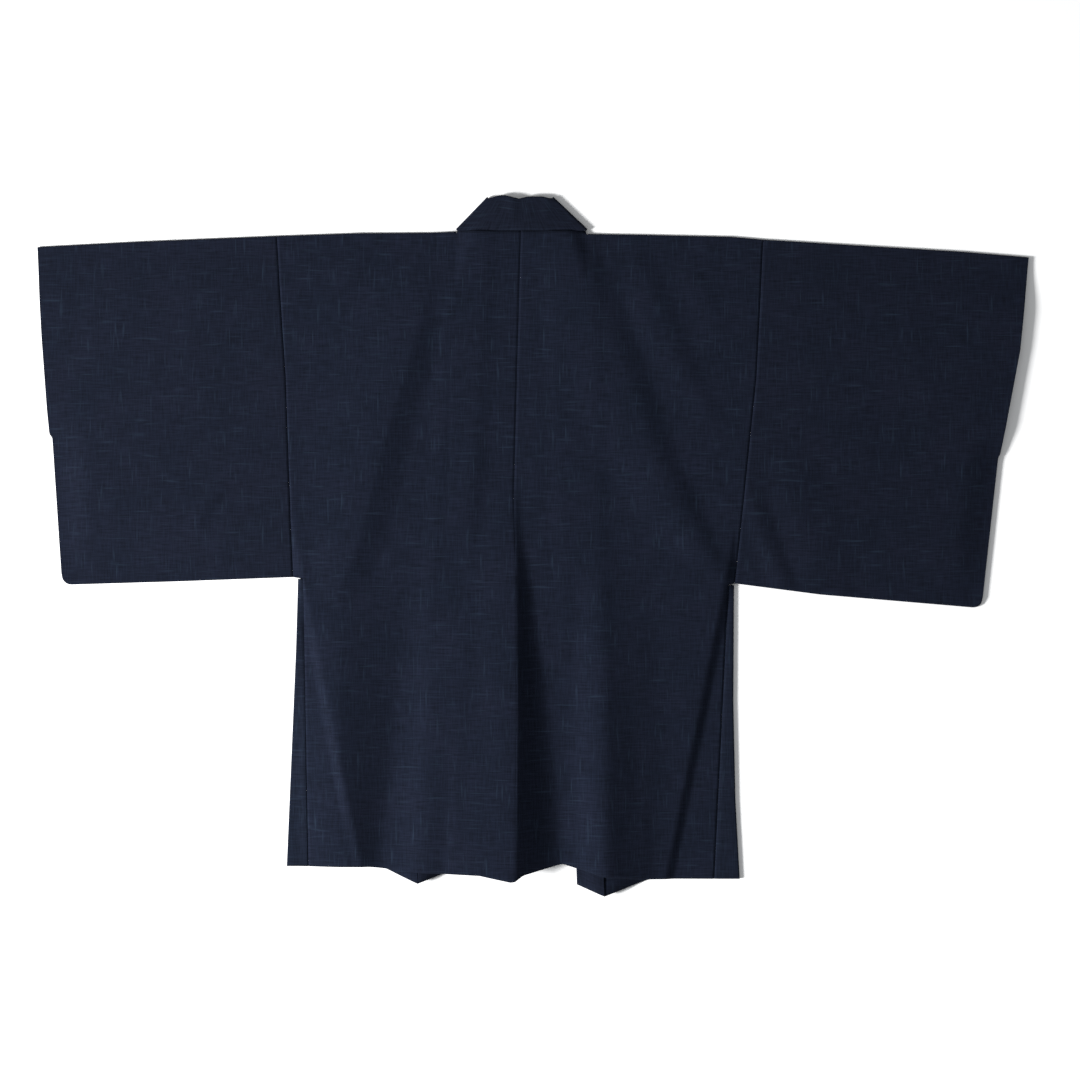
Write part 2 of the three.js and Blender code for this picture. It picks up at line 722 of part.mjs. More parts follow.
// The collar: up the left front, over its slanted fold, across the neck, and down the right front.
function collar() {
  const places = (seam, free) => {
    return Array.from({ length: BAND_COLUMNS + 1 }, (unused, column) => {
      const share = column / BAND_COLUMNS;
      return [mix(seam[0], free[0], share), mix(seam[1], free[1], share), share];
    });
  };
  const folds = { left: slantFold(SIDES.left), right: slantFold(SIDES.right) };

  const leg = (side, fold) => {
    const sections = [];
    for (let section = 1; section <= LEG_SECTIONS; section += 1) {
      const share = section / LEG_SECTIONS;
      const seamPlace = alongLine(side.bandSeam, share);
      const seam = [seamPlace[0] - side.sign * SEAM_GAP / 2, seamPlace[1]];
      const free = alongLine(side.bandEdge, share);
      sections.push(places(seam, free).map(([across, drop]) => {
        return clothPoint(across, drop, bandMiddle(across, drop), DOWN);
      }));
    }
    const turned = places(fold.seam, fold.free);
    return [turned.map(([across, drop]) => clothPoint(across, drop, fold.low, DOWN)), ...sections];
  };
  const turn = (fold) => {
    const columns = places(fold.seam, fold.free);
    const rings = columns.map(([across, drop]) => {
      return foldTurn(across, drop, fold.low, fold.high, fold.out);
    });
    return Array.from({ length: FOLD_STEPS - 1 }, (unused, step) => rings.map((ring) => ring[step]));
  };
  const nape = [];
  for (let section = 0; section <= NAPE_SECTIONS; section += 1) {
    const share = section / NAPE_SECTIONS;
    const seam = [mix(folds.left.seam[0], folds.right.seam[0], share), folds.left.seam[1]];
    const acrossFree = mix(folds.left.free[0], folds.right.free[0], share);
    const inner = mix(folds.left.free[1], folds.right.free[1], share) - SIDES.left.bandEdge.neck[1];
    const settle = 1 - smooth(Math.min(share, 1 - share) * 6);
    const free = [acrossFree, lookUp(NAPE_EDGE, "across", acrossFree, "drop") + inner * settle];
    nape.push(places(seam, free).map(([across, drop, part]) => {
      return clothPoint(across, drop, napeMiddle(share, part), UP);
    }));
  }
  const sections = [
    ...leg(SIDES.left, folds.left).reverse(),
    ...turn(folds.left),
    ...nape,
    ...turn(folds.right).reverse(),
    ...leg(SIDES.right, folds.right),
  ];
  const across = BAND_COLUMNS + 1;
  const cells = gridCells(BAND_COLUMNS, sections.length - 1, (column, row) => row * across + column);
  return thicken(sections.flat(), cells, BAND);
}

// ---------------------------------------------------------------- the jacket

function piece(name, geometry, colour) {
  const material = new THREE.MeshStandardMaterial({ color: colour, roughness: 0.92, metalness: 0 });
  const mesh = new THREE.Mesh(geometry, material);
  mesh.name = name;
  return mesh;
}

const haori = new THREE.Group();
haori.add(piece("body_left", bodyLength(SIDES.left), "#1d2331"));
haori.add(piece("body_right", bodyLength(SIDES.right), "#1d2230"));
haori.add(piece("sleeve_left", sleeve(SIDES.left), "#1c212f"));
haori.add(piece("sleeve_right", sleeve(SIDES.right), "#191d28"));
haori.add(piece("gusset_left", gusset(SIDES.left), "#1f2534"));
haori.add(piece("gusset_right", gusset(SIDES.right), "#202531"));
haori.add(piece("collar", collar(), "#1c202c"));

// The origin is on the surface, under the middle of the laid jacket.
const reach = new THREE.Box3().setFromObject(haori);
const middle = reach.getCenter(new THREE.Vector3());
haori.position.set(-middle.x, -middle.y, -reach.min.z);

export default haori;
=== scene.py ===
"""A haori jacket laid flat, back up: seven pieces of woven cloth on a pale floor."""

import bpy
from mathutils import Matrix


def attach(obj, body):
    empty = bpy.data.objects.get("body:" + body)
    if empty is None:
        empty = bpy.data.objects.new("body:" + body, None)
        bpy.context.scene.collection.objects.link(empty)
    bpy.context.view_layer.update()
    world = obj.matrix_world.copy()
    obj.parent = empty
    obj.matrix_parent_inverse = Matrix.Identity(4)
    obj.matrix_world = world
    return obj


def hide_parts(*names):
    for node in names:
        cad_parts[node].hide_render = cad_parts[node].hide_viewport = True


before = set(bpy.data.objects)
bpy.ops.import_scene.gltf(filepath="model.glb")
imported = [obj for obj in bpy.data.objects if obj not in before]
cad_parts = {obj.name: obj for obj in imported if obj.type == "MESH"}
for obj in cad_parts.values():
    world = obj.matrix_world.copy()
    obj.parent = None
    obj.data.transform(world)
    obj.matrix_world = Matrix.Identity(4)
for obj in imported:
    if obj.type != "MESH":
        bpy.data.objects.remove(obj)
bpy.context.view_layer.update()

import logging
import math
from collections.abc import Callable, Iterator
from dataclasses import dataclass
from enum import Enum

import bpy
import numpy as np
from mathutils import Vector

LOG = logging.getLogger("haori")

Number = float | np.ndarray
Edge = Callable[[np.ndarray], np.ndarray]
Section = tuple[np.ndarray, np.ndarray, np.ndarray]

# ---------------------------------------------------------------- sizes, millimetres
# Plan places are (across, drop): across runs right from the middle of the back neck, and drop runs
# down from the neck seam. Heights are from the surface.

ACROSS_OF_ORIGIN = 16.95
DROP_OF_ORIGIN = 443.6
MM = 0.001

CLOTH = 1.8
BAND = 3.2
SEAM_GAP = 0.3
REST_GAP = 0.5
LOFT = 5.4
LOFT_REACH = 90.0
CORNER_RADIUS = 14.0
NECK_SEAM = -1.0
NAPE_FOLD = 5.6
NAPE_RISE_AT_SEAM = 3.2
NAPE_RISE_AT_EDGE = 1.6
JOG = 2.0
BAND_SHOULDER = 26.0
FOLD_STEPS = 8

# How the layers come apart beside the neck, the underarm and the sewn part of the cuff.
NECK_SLOPE = 3
UNDERARM_SLOPE = 5
CUFF_REACH = 50
SEWN_START = 40
SEWN_REACH = 60

# How far the edges sink beside a seam, and where the extra cells lie that show it.
ROLL = 1.0
ROLL_REACH = 3.2
SEAM_CELLS = (1.0, 2.0, 3.4)
FAR = 99

# The cloth's slight unevenness.
UNEVEN = 0.16
WAVE_COUNT = 14
WAVE_FREQUENCIES = (0.006, 0.032)
WAVE_SCALE = 4
FULL_WAVE_LIFT = 2


def cubic(places: np.ndarray, values: np.ndarray, wanted: np.ndarray) -> np.ndarray:
    """Interpolates a column of a table without overshoot.

    Args:
        places: increasing places of the rows.
        values: the column's values.
        wanted: places to read it at.

    Returns:
        The values at those places, held beyond the first and last rows.
    """
    slopes = np.diff(values) / np.diff(places)
    tangents = np.concatenate([slopes[:1], (slopes[1:] + slopes[:-1]) / 2, slopes[-1:]])
    for row, slope in enumerate(slopes):
        if slope == 0:
            tangents[row] = tangents[row + 1] = 0
            continue
        pair = tangents[row:row + 2] / slope
        tangents[row:row + 2] = np.where(pair < 0, 0, tangents[row:row + 2])
        size = math.hypot(max(pair[0], 0), max(pair[1], 0))
        if size > 3:
            tangents[row:row + 2] *= 3 / size
    held = np.clip(wanted, places[0], places[-1])
    row = np.clip(np.searchsorted(places, held, side="right") - 1, 0, len(slopes) - 1)
    step = places[row + 1] - places[row]
    t = (held - places[row]) / step
    return (
        values[row] * (2 * t**3 - 3 * t**2 + 1)
        + step * tangents[row] * (t**3 - 2 * t**2 + t)
        + values[row + 1] * (-2 * t**3 + 3 * t**2)
        + step * tangents[row + 1] * (t**3 - t**2)
    )


def smooth(share: Number) -> Number:
    """An S-shaped rise from 0 to 1 over shares from 0 to 1."""
    held = np.clip(share, 0, 1)
    return held * held * (3 - 2 * held)


def mix(start: Number, end: Number, share: Number) -> Number:
    """The value a share of the way from start to end."""
    return start + (end - start) * share


@dataclass(frozen=True)
class Line:
    """An outline as (across, drop) corners, read along either of its two axes."""

    corners: tuple

    def across_at(self, drop: Number) -> Number:
        """The line's across at a drop."""
        rows = sorted(self.corners, key=lambda row: row[1])
        return np.interp(drop, [row[1] for row in rows], [row[0] for row in rows])

    def drop_at(self, across: Number) -> Number:
        """The line's drop at an across."""
        rows = sorted(self.corners)
        return np.interp(across, [row[0] for row in rows], [row[1] for row in rows])


@dataclass(frozen=True)
class Fold:
    """A fold running down the cloth. Rows are (drop, across of the crest, rise, left, right)."""

    crisp: float
    rows: tuple

    def rise(self, across: np.ndarray, drop: np.ndarray) -> np.ndarray:
        """Reads the fold's table at each place.

        Args:
            across: the places' across.
            drop: the places' drop.

        Returns:
            How far this fold lifts the cloth there.
        """
        table = np.array(self.rows, float)
        drops = table[:, 0]
        crest, rise, left, right = (cubic(drops, table[:, column], drop) for column in (1, 2, 3, 4))
        if table[0, 2] == 0:
            rise = np.where(drop <= drops[0], 0, rise)
        if table[-1, 2] == 0:
            rise = np.where(drop >= drops[-1], 0, rise)
        away = across - crest
        share = np.clip(np.abs(away) / np.where(away < 0, left, right), 0, 1)
        soft, sharp = (1 - share**2) ** 2, (1 - share) ** 2
        return rise * np.where(away < 0, soft, mix(soft, sharp, self.crisp))


@dataclass(frozen=True)
class Crease:
    """A short line pressed into the cloth or standing up from it, between two places."""

    start: tuple
    end: tuple
    rise: float
    reach: float

    def lift(self, across: np.ndarray, drop: np.ndarray) -> np.ndarray:
        """Measures each place from the crease's line.

        Args:
            across: the places' across.
            drop: the places' drop.

        Returns:
            How far this crease lifts the cloth there.
        """
        run = np.subtract(self.end, self.start)
        length = float(np.hypot(*run))
        along = ((across - self.start[0]) * run[0] + (drop - self.start[1]) * run[1]) / length
        side = ((across - self.start[0]) * run[1] - (drop - self.start[1]) * run[0]) / length
        share = np.clip(along / length, 0, 1)
        inside = (along > 0) & (along < length)
        profile = np.exp(-((side / self.reach) ** 2))
        return np.where(inside, self.rise * np.sin(math.pi * share) * profile, 0)


@dataclass(frozen=True)
class Side:
    """One half of the jacket's plan."""

    sign: int
    shoulder: Line
    cuff: Line
    notch: tuple
    sleeve_bottom: Line
    armhole: Line
    underarm: tuple
    side: Line
    gusset_seam: Line
    back_hem: Line
    front_hem: Line
    band_seam: tuple
    band_edge: tuple


CENTRE_SEAM = Line(((0, -1), (-5.7, 205), (-10, 372), (-7, 484), (-5.7, 669), (-8, 914)))
CENTRE_HEM = (-8.0, 914.0)

LEFT = Side(
    sign=-1,
    shoulder=Line(((-683, 21.5), (-539, 14), (-345, 6), (-228, 2), (-129, 1.4), (-92, 0))),
    cuff=Line(((-683, 21.5), (-676, 150), (-666, 284), (-662, 290), (-649, 485))),
    notch=(284.0, 290.0),
    sleeve_bottom=Line(((-649, 499), (-482, 494), (-322, 488))),
    armhole=Line(((-345, 6), (-332, 205), (-322, 488))),
    underarm=(-322.0, 488.0),
    side=Line(((-315, 488), (-318, 591), (-324, 732), (-331, 896))),
    gusset_seam=Line(((-308, 490), (-300, 896))),
    back_hem=Line(((-331, 896), (-214, 896), (-148, 903), (-58, 906), (-14, 915), (-8, 914))),
    front_hem=Line(((-331, 896), (-194, 898), (-146, 920))),
    band_seam=((-92, 0), (-146, 920)),
    band_edge=((-48, -49), (-106, 905)),
)

RIGHT = Side(
    sign=1,
    shoulder=Line(((94, 3), (169, 4.2), (296, 7), (342, 11), (479, 19.5), (621, 28), (717, 36))),
    cuff=Line(((717, 36), (704, 168), (677, 312), (674, 318), (652, 518))),
    notch=(312.0, 318.0),
    sleeve_bottom=Line(((302, 497), (423, 513), (652, 533))),
    armhole=Line(((342, 11), (332, 205), (302, 497))),
    underarm=(302.0, 497.0),
    side=Line(((301, 497), (300, 662), (303, 803), (309, 914))),
    gusset_seam=Line(((293, 499), (273, 914))),
    back_hem=Line(
        ((-8, 914), (3, 906), (58, 892), (79, 898), (119, 909), (168, 913.5), (309, 914))
    ),
    front_hem=Line(((118, 938), (157, 923), (190, 911), (309, 914))),
    band_seam=((94, 3), (118, 938)),
    band_edge=((46, -49), (79, 922)),
)

# The free top edge of the collar behind the neck.
NAPE_EDGE = Line(((-48, -49), (-24, -51), (-3, -46), (10, -49), (46, -49)))

# ---------------------------------------------------------------- folds
# Rows are (drop, across of the crest, rise, reach of the left flank, reach of the right flank).

BACK_FOLDS = (
    Fold(0.55, (
        (10, -100, 0, 60, 14), (60, -122, 1.6, 90, 26), (117, -141, 3.4, 120, 34),
        (209, -165, 5.4, 130, 40), (287, -189, 6.2, 120, 42), (386, -214, 6.0, 100, 44),
        (474, -240, 4.6, 60, 40), (530, -262, 0, 40, 36),
    )),
    Fold(0.5, (
        (470, -252, 0, 40, 50), (560, -253, 5, 60, 92), (640, -254, 9, 66, 92),
        (740, -253, 13, 72, 84), (830, -248, 13, 74, 62), (910, -241, 11, 74, 44),
    )),
    Fold(0.4, (
        (470, -100, 0, 60, 24), (560, -97, 1.8, 80, 38), (700, -93, 3.2, 90, 44),
        (830, -90, 3.2, 90, 46), (915, -88, 1.6, 80, 50),
    )),
    Fold(0.2, (
        (262, -64, 0, 30, 22), (330, -70, 1.3, 34, 30), (400, -80, 1.4, 34, 30),
        (462, -88, 0, 30, 26),
    )),
    Fold(0.62, (
        (340, -10, 0, 60, 8), (380, -10, 1.6, 70, 10), (440, -9, 5.0, 90, 17),
        (484, -7, 8, 110, 23), (560, -6, 13, 130, 33), (669, -5, 18.5, 150, 47),
        (800, -6, 23, 165, 62), (925, -8, 26, 170, 74),
    )),
    Fold(0.25, (
        (430, 120, 0, 30, 50), (520, 122, 3.4, 48, 70), (620, 122, 7, 56, 84),
        (760, 122, 9.5, 60, 92), (960, 120, 9.5, 62, 92),
    )),
    Fold(0.12, (
        (0, 76, 0, 40, 20), (60, 97, 2.0, 70, 32), (117, 116, 3.4, 90, 38),
        (167, 133, 4.2, 100, 40), (223, 153, 4.6, 100, 40), (308, 184, 4.8, 90, 40),
        (400, 228, 4.6, 70, 38), (453, 256, 3.6, 50, 34), (500, 288, 0, 30, 26),
    )),
    Fold(0.15, (
        (4, 158, 0, 26, 18), (60, 174, 1.6, 40, 28), (103, 189, 2.4, 46, 32),
        (146, 206, 2.6, 50, 34), (223, 242, 2.0, 46, 32), (290, 282, 0, 30, 24),
    )),
    Fold(0.2, (
        (30, 226, 0, 20, 14), (75, 247, 1.1, 30, 22), (110, 267, 1.1, 34, 22),
        (170, 300, 0, 26, 18),
    )),
    Fold(0.3, ((10, -226, 0, 20, 16), (60, -242, 0.7, 30, 24), (120, -264, 0, 26, 20))),
    Fold(0.3, ((10, -132, 0, 20, 14), (50, -146, 0.7, 24, 18), (90, -160, 0, 26, 18))),
    Fold(0.5, ((800, 170, 0, 24, 14), (850, 172, 1.3, 30, 16), (915, 172, 1.2, 30, 16))),
    Fold(0.2, (
        (340, 318, 0, 20, 18), (400, 334, 2.2, 24, 22), (452, 352, 2.8, 28, 24),
        (500, 372, 2.2, 28, 24), (525, 382, 0, 20, 18),
    )),
    Fold(0.2, (
        (290, 365, 0, 20, 40), (376, 388, 2.2, 40, 70), (500, 425, 2.2, 40, 60),
        (530, 432, 0, 30, 40),
    )),
    Fold(0.2, (
        (345, -422, 0, 20, 14), (380, -436, 1.2, 24, 16), (414, -458, 1.2, 24, 16),
        (430, -466, 0, 20, 14),
    )),
)

BACK_CREASES = (
    Crease((228, 764), (277, 753), -0.5, 5),
    Crease((214, 831), (281, 807), -0.6, 6),
    Crease((-369, 404), (-437, 386), 0.5, 8),
    Crease((-101, 150), (-103, 440), -0.35, 3),
    Crease((-560, 40), (-585, 250), 0.5, 14),
    Crease((540, 60), (575, 300), 0.6, 14),
    Crease((-480, 300), (-520, 480), 0.5, 12),
    Crease((-300, 560), (-305, 860), 0.5, 9),
    Crease((60, 560), (66, 860), -0.5, 12),
)

# The cloth on the surface rises to a ridge along each collar seam near the hem.
FRONT_FOLDS = (
    Fold(0.0, ((380, -114, 0, 40, 42), (650, -130, 3, 50, 42), (920, -146, 9, 60, 42))),
    Fold(0.0, ((380, 104, 0, 42, 40), (650, 111, 3, 42, 50), (940, 118, 9, 42, 60))),
)


class Heights:
    """Where each layer's middle surface stands above the floor."""

    def __init__(self, seed: int) -> None:
        """Draws the fixed waves of the cloth's slight unevenness.

        Args:
            seed: what the waves are drawn from.
        """
        draw = np.random.default_rng(seed)
        self.waves = [
            (draw.uniform(*WAVE_FREQUENCIES), *(draw.uniform(0, math.tau) for _ in range(2)))
            for _ in range(WAVE_COUNT)
        ]

    def uneven(self, across: np.ndarray, drop: np.ndarray) -> np.ndarray:
        """Adds the waves up.

        Args:
            across: the places' across.
            drop: the places' drop.

        Returns:
            A slight waviness, from about -1 to 1.
        """
        total = np.zeros_like(across)
        for frequency, heading, phase in self.waves:
            along = across * math.cos(heading) + drop * math.sin(heading)
            total = total + np.sin(math.pi * frequency * along + phase)
        return total / WAVE_SCALE

    def under(self, across: np.ndarray, drop: np.ndarray) -> np.ndarray:
        """How far the front layer is lifted off the floor."""
        return sum(fold.rise(across, drop) for fold in FRONT_FOLDS)

    def lower(self, across: np.ndarray, drop: np.ndarray, thickness: float = CLOTH) -> np.ndarray:
        """The middle of the layer on the floor."""
        return thickness / 2 + self.under(across, drop)

    def band_cover(self, across: np.ndarray, drop: np.ndarray) -> np.ndarray:
        """Tells where the back lies over the collar band.

        Args:
            across: the places' across.
            drop: the places' drop.

        Returns:
            1 over the band on the floor, falling to 0 beside it.
        """
        centre = self._on(Line(((0, NECK_SEAM), CENTRE_HEM)), drop)
        cover = np.zeros_like(across)
        for side in (LEFT, RIGHT):
            seam = Line(side.band_seam)
            edge = Line(side.band_edge)
            beyond = across * side.sign - self._on(seam, drop) * side.sign
            short = self._on(edge, drop) * side.sign - across * side.sign
            outside = np.maximum(np.maximum(beyond, short), 0)
            here = (across - centre) * side.sign >= 0
            cover = np.where(here, smooth(1 - outside / BAND_SHOULDER), cover)
        return cover

    @staticmethod
    def _on(line: Line, drop: np.ndarray) -> np.ndarray:
        """A straight line's across at a drop, carried on past its ends."""
        (across, start), (end_across, end) = line.corners
        return mix(across, end_across, (drop - start) / (end - start))

    def loft(self, across: np.ndarray, drop: np.ndarray) -> np.ndarray:
        """Measures each place from the sewn and folded edges.

        Args:
            across: the places' across.
            drop: the places' drop.

        Returns:
            How far the layers stand apart there: nothing at those edges.
        """
        result = np.zeros_like(across)
        for side in (LEFT, RIGHT):
            out = across * side.sign
            inside = np.maximum(side.underarm[0] * side.sign - out, 0)
            sleeve_bottom = side.sleeve_bottom.drop_at(across)
            within = side.underarm[1] + UNDERARM_SLOPE * inside
            bottom = np.where(inside > 0, within, sleeve_bottom)
            neck = side.band_seam[0][0] * side.sign
            top = side.shoulder.drop_at(across) - NECK_SLOPE * np.maximum(neck - out, 0)
            cuff = side.cuff.across_at(drop) * side.sign
            sewn = smooth((drop - side.notch[0] + SEWN_START) / SEWN_REACH)
            from_cuff = mix(1, smooth((cuff - out) / CUFF_REACH), sewn)
            rise = LOFT * smooth((drop - top) / LOFT_REACH) * smooth((bottom - drop) / LOFT_REACH)
            result = np.where((across >= 0) == (side.sign > 0), rise * from_cuff, result)
        return result

    def upper(self, across: np.ndarray, drop: np.ndarray) -> np.ndarray:
        """Stacks the layers, the loft, the folds and the creases.

        Args:
            across: the places' across.
            drop: the places' drop.

        Returns:
            The height of the upper layer's middle.
        """
        under = CLOTH + self.under(across, drop) + (BAND - CLOTH) * self.band_cover(across, drop)
        loft = self.loft(across, drop)
        folds = sum(fold.rise(across, drop) for fold in BACK_FOLDS)
        creases = sum(crease.lift(across, drop) for crease in BACK_CREASES)
        waves = UNEVEN * self.uneven(across, drop) + creases
        free = np.clip(loft + folds, 0, FULL_WAVE_LIFT) / FULL_WAVE_LIFT
        return under + REST_GAP + CLOTH / 2 + loft + folds + waves * free


HEIGHTS = Heights(seed=7)

# ---------------------------------------------------------------- sheets of cells


class Sheet:
    """A sheet of four-sided cells with a way out and a cloth coordinate at every corner."""

    def __init__(self, thickness: float) -> None:
        """Starts an empty sheet.

        Args:
            thickness: the cloth's thickness, in millimetres.
        """
        self.thickness = thickness
        self.places: list[np.ndarray] = []
        self.outward: list[np.ndarray] = []
        self.cloth: list[np.ndarray] = []
        self.cells: list[np.ndarray] = []
        self.count = 0

    def add(
        self, plan: np.ndarray, height: np.ndarray, outward: np.ndarray, cloth: np.ndarray
    ) -> np.ndarray:
        """Adds a row of corners.

        Args:
            plan: the corners' (across, drop), one row each.
            height: their heights.
            outward: the way their outer face looks, as (x, y, z).
            cloth: their place in the cloth, as (across the piece, along it), in millimetres.

        Returns:
            The indices of the new corners.
        """
        self.places.append(np.column_stack([plan[:, 0], -plan[:, 1], height]))
        self.outward.append(np.broadcast_to(outward, (len(plan), 3)))
        self.cloth.append(cloth)
        first = self.count
        self.count += len(plan)
        return np.arange(first, self.count)

    def grid(self, rows: list[np.ndarray], closed: bool = False) -> None:
        """Joins rows of corners of the same length into cells.

        Args:
            rows: the corners' indices, one row each.
            closed: whether the last row joins the first one.
        """
        table = np.array(rows)
        if closed:
            table = np.vstack([table, table[:1]])
        a, b = table[:-1, :-1], table[:-1, 1:]
        c, d = table[1:, 1:], table[1:, :-1]
        self.cells.append(np.stack([a, b, c, d], axis=-1).reshape(-1, 4))

    def build(self, name: str) -> bpy.types.Object:
        """Makes the closed shell, with the cloth coordinates as a UV layer.

        Args:
            name: the new object's name.

        Returns:
            The object, in metres in the row frame.
        """
        places, outward = np.vstack(self.places), np.vstack(self.outward)
        cloth, cells = np.vstack(self.cloth), np.vstack(self.cells)
        half = outward * self.thickness / 2
        corners = np.vstack([places + half, places - half])
        corners[:, 0] -= ACROSS_OF_ORIGIN
        corners[:, 1] += DROP_OF_ORIGIN
        count = len(places)
        edges = np.vstack([cells[:, [i, (i + 1) % 4]] for i in range(4)])
        keys = {(int(a), int(b)) for a, b in edges}
        rim = np.array([[b, a, a + count, b + count] for a, b in keys if (b, a) not in keys])
        faces = np.vstack([cells, cells[:, ::-1] + count, rim])
        mesh = bpy.data.meshes.new(name)
        mesh.from_pydata((corners * MM).tolist(), [], faces.tolist())
        layer = mesh.uv_layers.new(name="cloth")
        whole = np.vstack([cloth, cloth]) * MM
        layer.data.foreach_set("uv", whole[faces.ravel()].ravel())
        mesh.update()
        self._face_out(mesh)
        mesh.polygons.foreach_set("use_smooth", [True] * len(mesh.polygons))
        obj = bpy.data.objects.new(name, mesh)
        bpy.context.scene.collection.objects.link(obj)
        return obj

    @staticmethod
    def _face_out(mesh: bpy.types.Mesh) -> None:
        """Turns the faces to look out where the sheet was laid out the other way.

        Args:
            mesh: the closed shell.
        """
        corners = np.empty(len(mesh.vertices) * 3)
        mesh.vertices.foreach_get("co", corners)
        corners = corners.reshape(-1, 3)
        mesh.calc_loop_triangles()
        triangles = np.empty(len(mesh.loop_triangles) * 3, int)
        mesh.loop_triangles.foreach_get("vertices", triangles)
        a, b, c = (corners[triangles.reshape(-1, 3)[:, i]] for i in range(3))
        if np.einsum("ij,ij->i", a, np.cross(b, c)).sum() < 0:
            mesh.flip_normals()


UP, DOWN = np.array([0.0, 0.0, 1.0]), np.array([0.0, 0.0, -1.0])


def half_turn(
    plan: np.ndarray, low: np.ndarray, high: np.ndarray, way_out: np.ndarray
) -> Iterator[tuple]:
    """Half a turn from the lower layer to the upper one round a folded edge.

    Args:
        plan: where the turn's centre lies, (across, drop) a row.
        low: heights of the lower layer there.
        high: heights of the upper layer there.
        way_out: the way out of the edge as (across, drop), one for all or a row each.

    Yields:
        (plan, height, outward, length of cloth so far) at each step between the two layers.
    """
    radius = (high - low) / 2
    for step in range(1, FOLD_STEPS):
        angle = math.pi * (step / FOLD_STEPS - 0.5)
        flat = np.broadcast_to(way_out, plan.shape) * math.cos(angle)
        places = plan + flat * radius[:, None]
        height = (low + high) / 2 + radius * math.sin(angle)
        rise = np.full(len(plan), math.sin(angle))
        outward = np.column_stack([flat[:, 0], -flat[:, 1], rise])
        yield places, height, outward, radius * math.pi * step / FOLD_STEPS


def inset_of(low: np.ndarray, high: np.ndarray, thickness: float) -> np.ndarray:
    """How far inside an outline a turn's centre lies, for the folded edge to meet the outline."""
    return (high - low) / 2 + thickness / 2


class Panel:
    """The plan of a panel spanned by its four edges."""

    def __init__(self, top: Edge, bottom: Edge, start: Edge, end: Edge) -> None:
        """Keeps the four edges, each a function from shares to (across, drop) rows."""
        self.top, self.bottom, self.start, self.end = top, bottom, start, end

    def at(self, u: np.ndarray, v: float) -> np.ndarray:
        """Blends the four edges into one row of the panel.

        Args:
            u: shares of the way from the first column to the last.
            v: the share of the way down.

        Returns:
            The places, (across, drop) a row.
        """
        one = np.array([v])
        start, end = self.start(one), self.end(one)
        upper = mix(self.top(np.array([0.0])), self.top(np.array([1.0])), u[:, None])
        lower = mix(self.bottom(np.array([0.0])), self.bottom(np.array([1.0])), u[:, None])
        ruled = mix(self.top(u), self.bottom(u), v) + mix(start, end, u[:, None])
        return ruled - mix(upper, lower, v)


def by_drop(line: Line, start: float, end: float, shift: float) -> Edge:
    """An edge that runs down a line.

    Args:
        line: the line it follows.
        start: the drop it starts at.
        end: the drop it ends at.
        shift: how far across it is moved.

    Returns:
        The edge.
    """

    def edge(share: np.ndarray) -> np.ndarray:
        """The places at these shares of the way."""
        drop = mix(start, end, share)
        return np.column_stack([line.across_at(drop) + shift, drop])

    return edge


def by_across(line: Line, start: float, end: float) -> Edge:
    """An edge that runs along a line.

    Args:
        line: the line it follows.
        start: the across it starts at.
        end: the across it ends at.

    Returns:
        The edge.
    """

    def edge(share: np.ndarray) -> np.ndarray:
        """The places at these shares of the way."""
        across = mix(start, end, share)
        return np.column_stack([across, line.drop_at(across)])

    return edge


def roll(away: np.ndarray) -> np.ndarray:
    """How far a sewn edge sinks, at a distance from it."""
    return -ROLL * (1 - smooth(away / ROLL_REACH))


def edge_shares(count: int, length: float, first: bool, last: bool) -> np.ndarray:
    """Evenly spread shares from 0 to 1, with closer ones beside sewn edges.

    Args:
        count: how many even cells there are.
        length: the stretch's length, in millimetres.
        first: whether its start is a sewn edge.
        last: whether its end is a sewn edge.

    Returns:
        The shares in order.
    """
    close = np.array(SEAM_CELLS) / length
    shares = list(np.linspace(0, 1, count + 1))
    if first:
        shares += list(close)
    if last:
        shares += list(1 - close)
    return np.unique(np.round(shares, 6))


# ---------------------------------------------------------------- the pieces


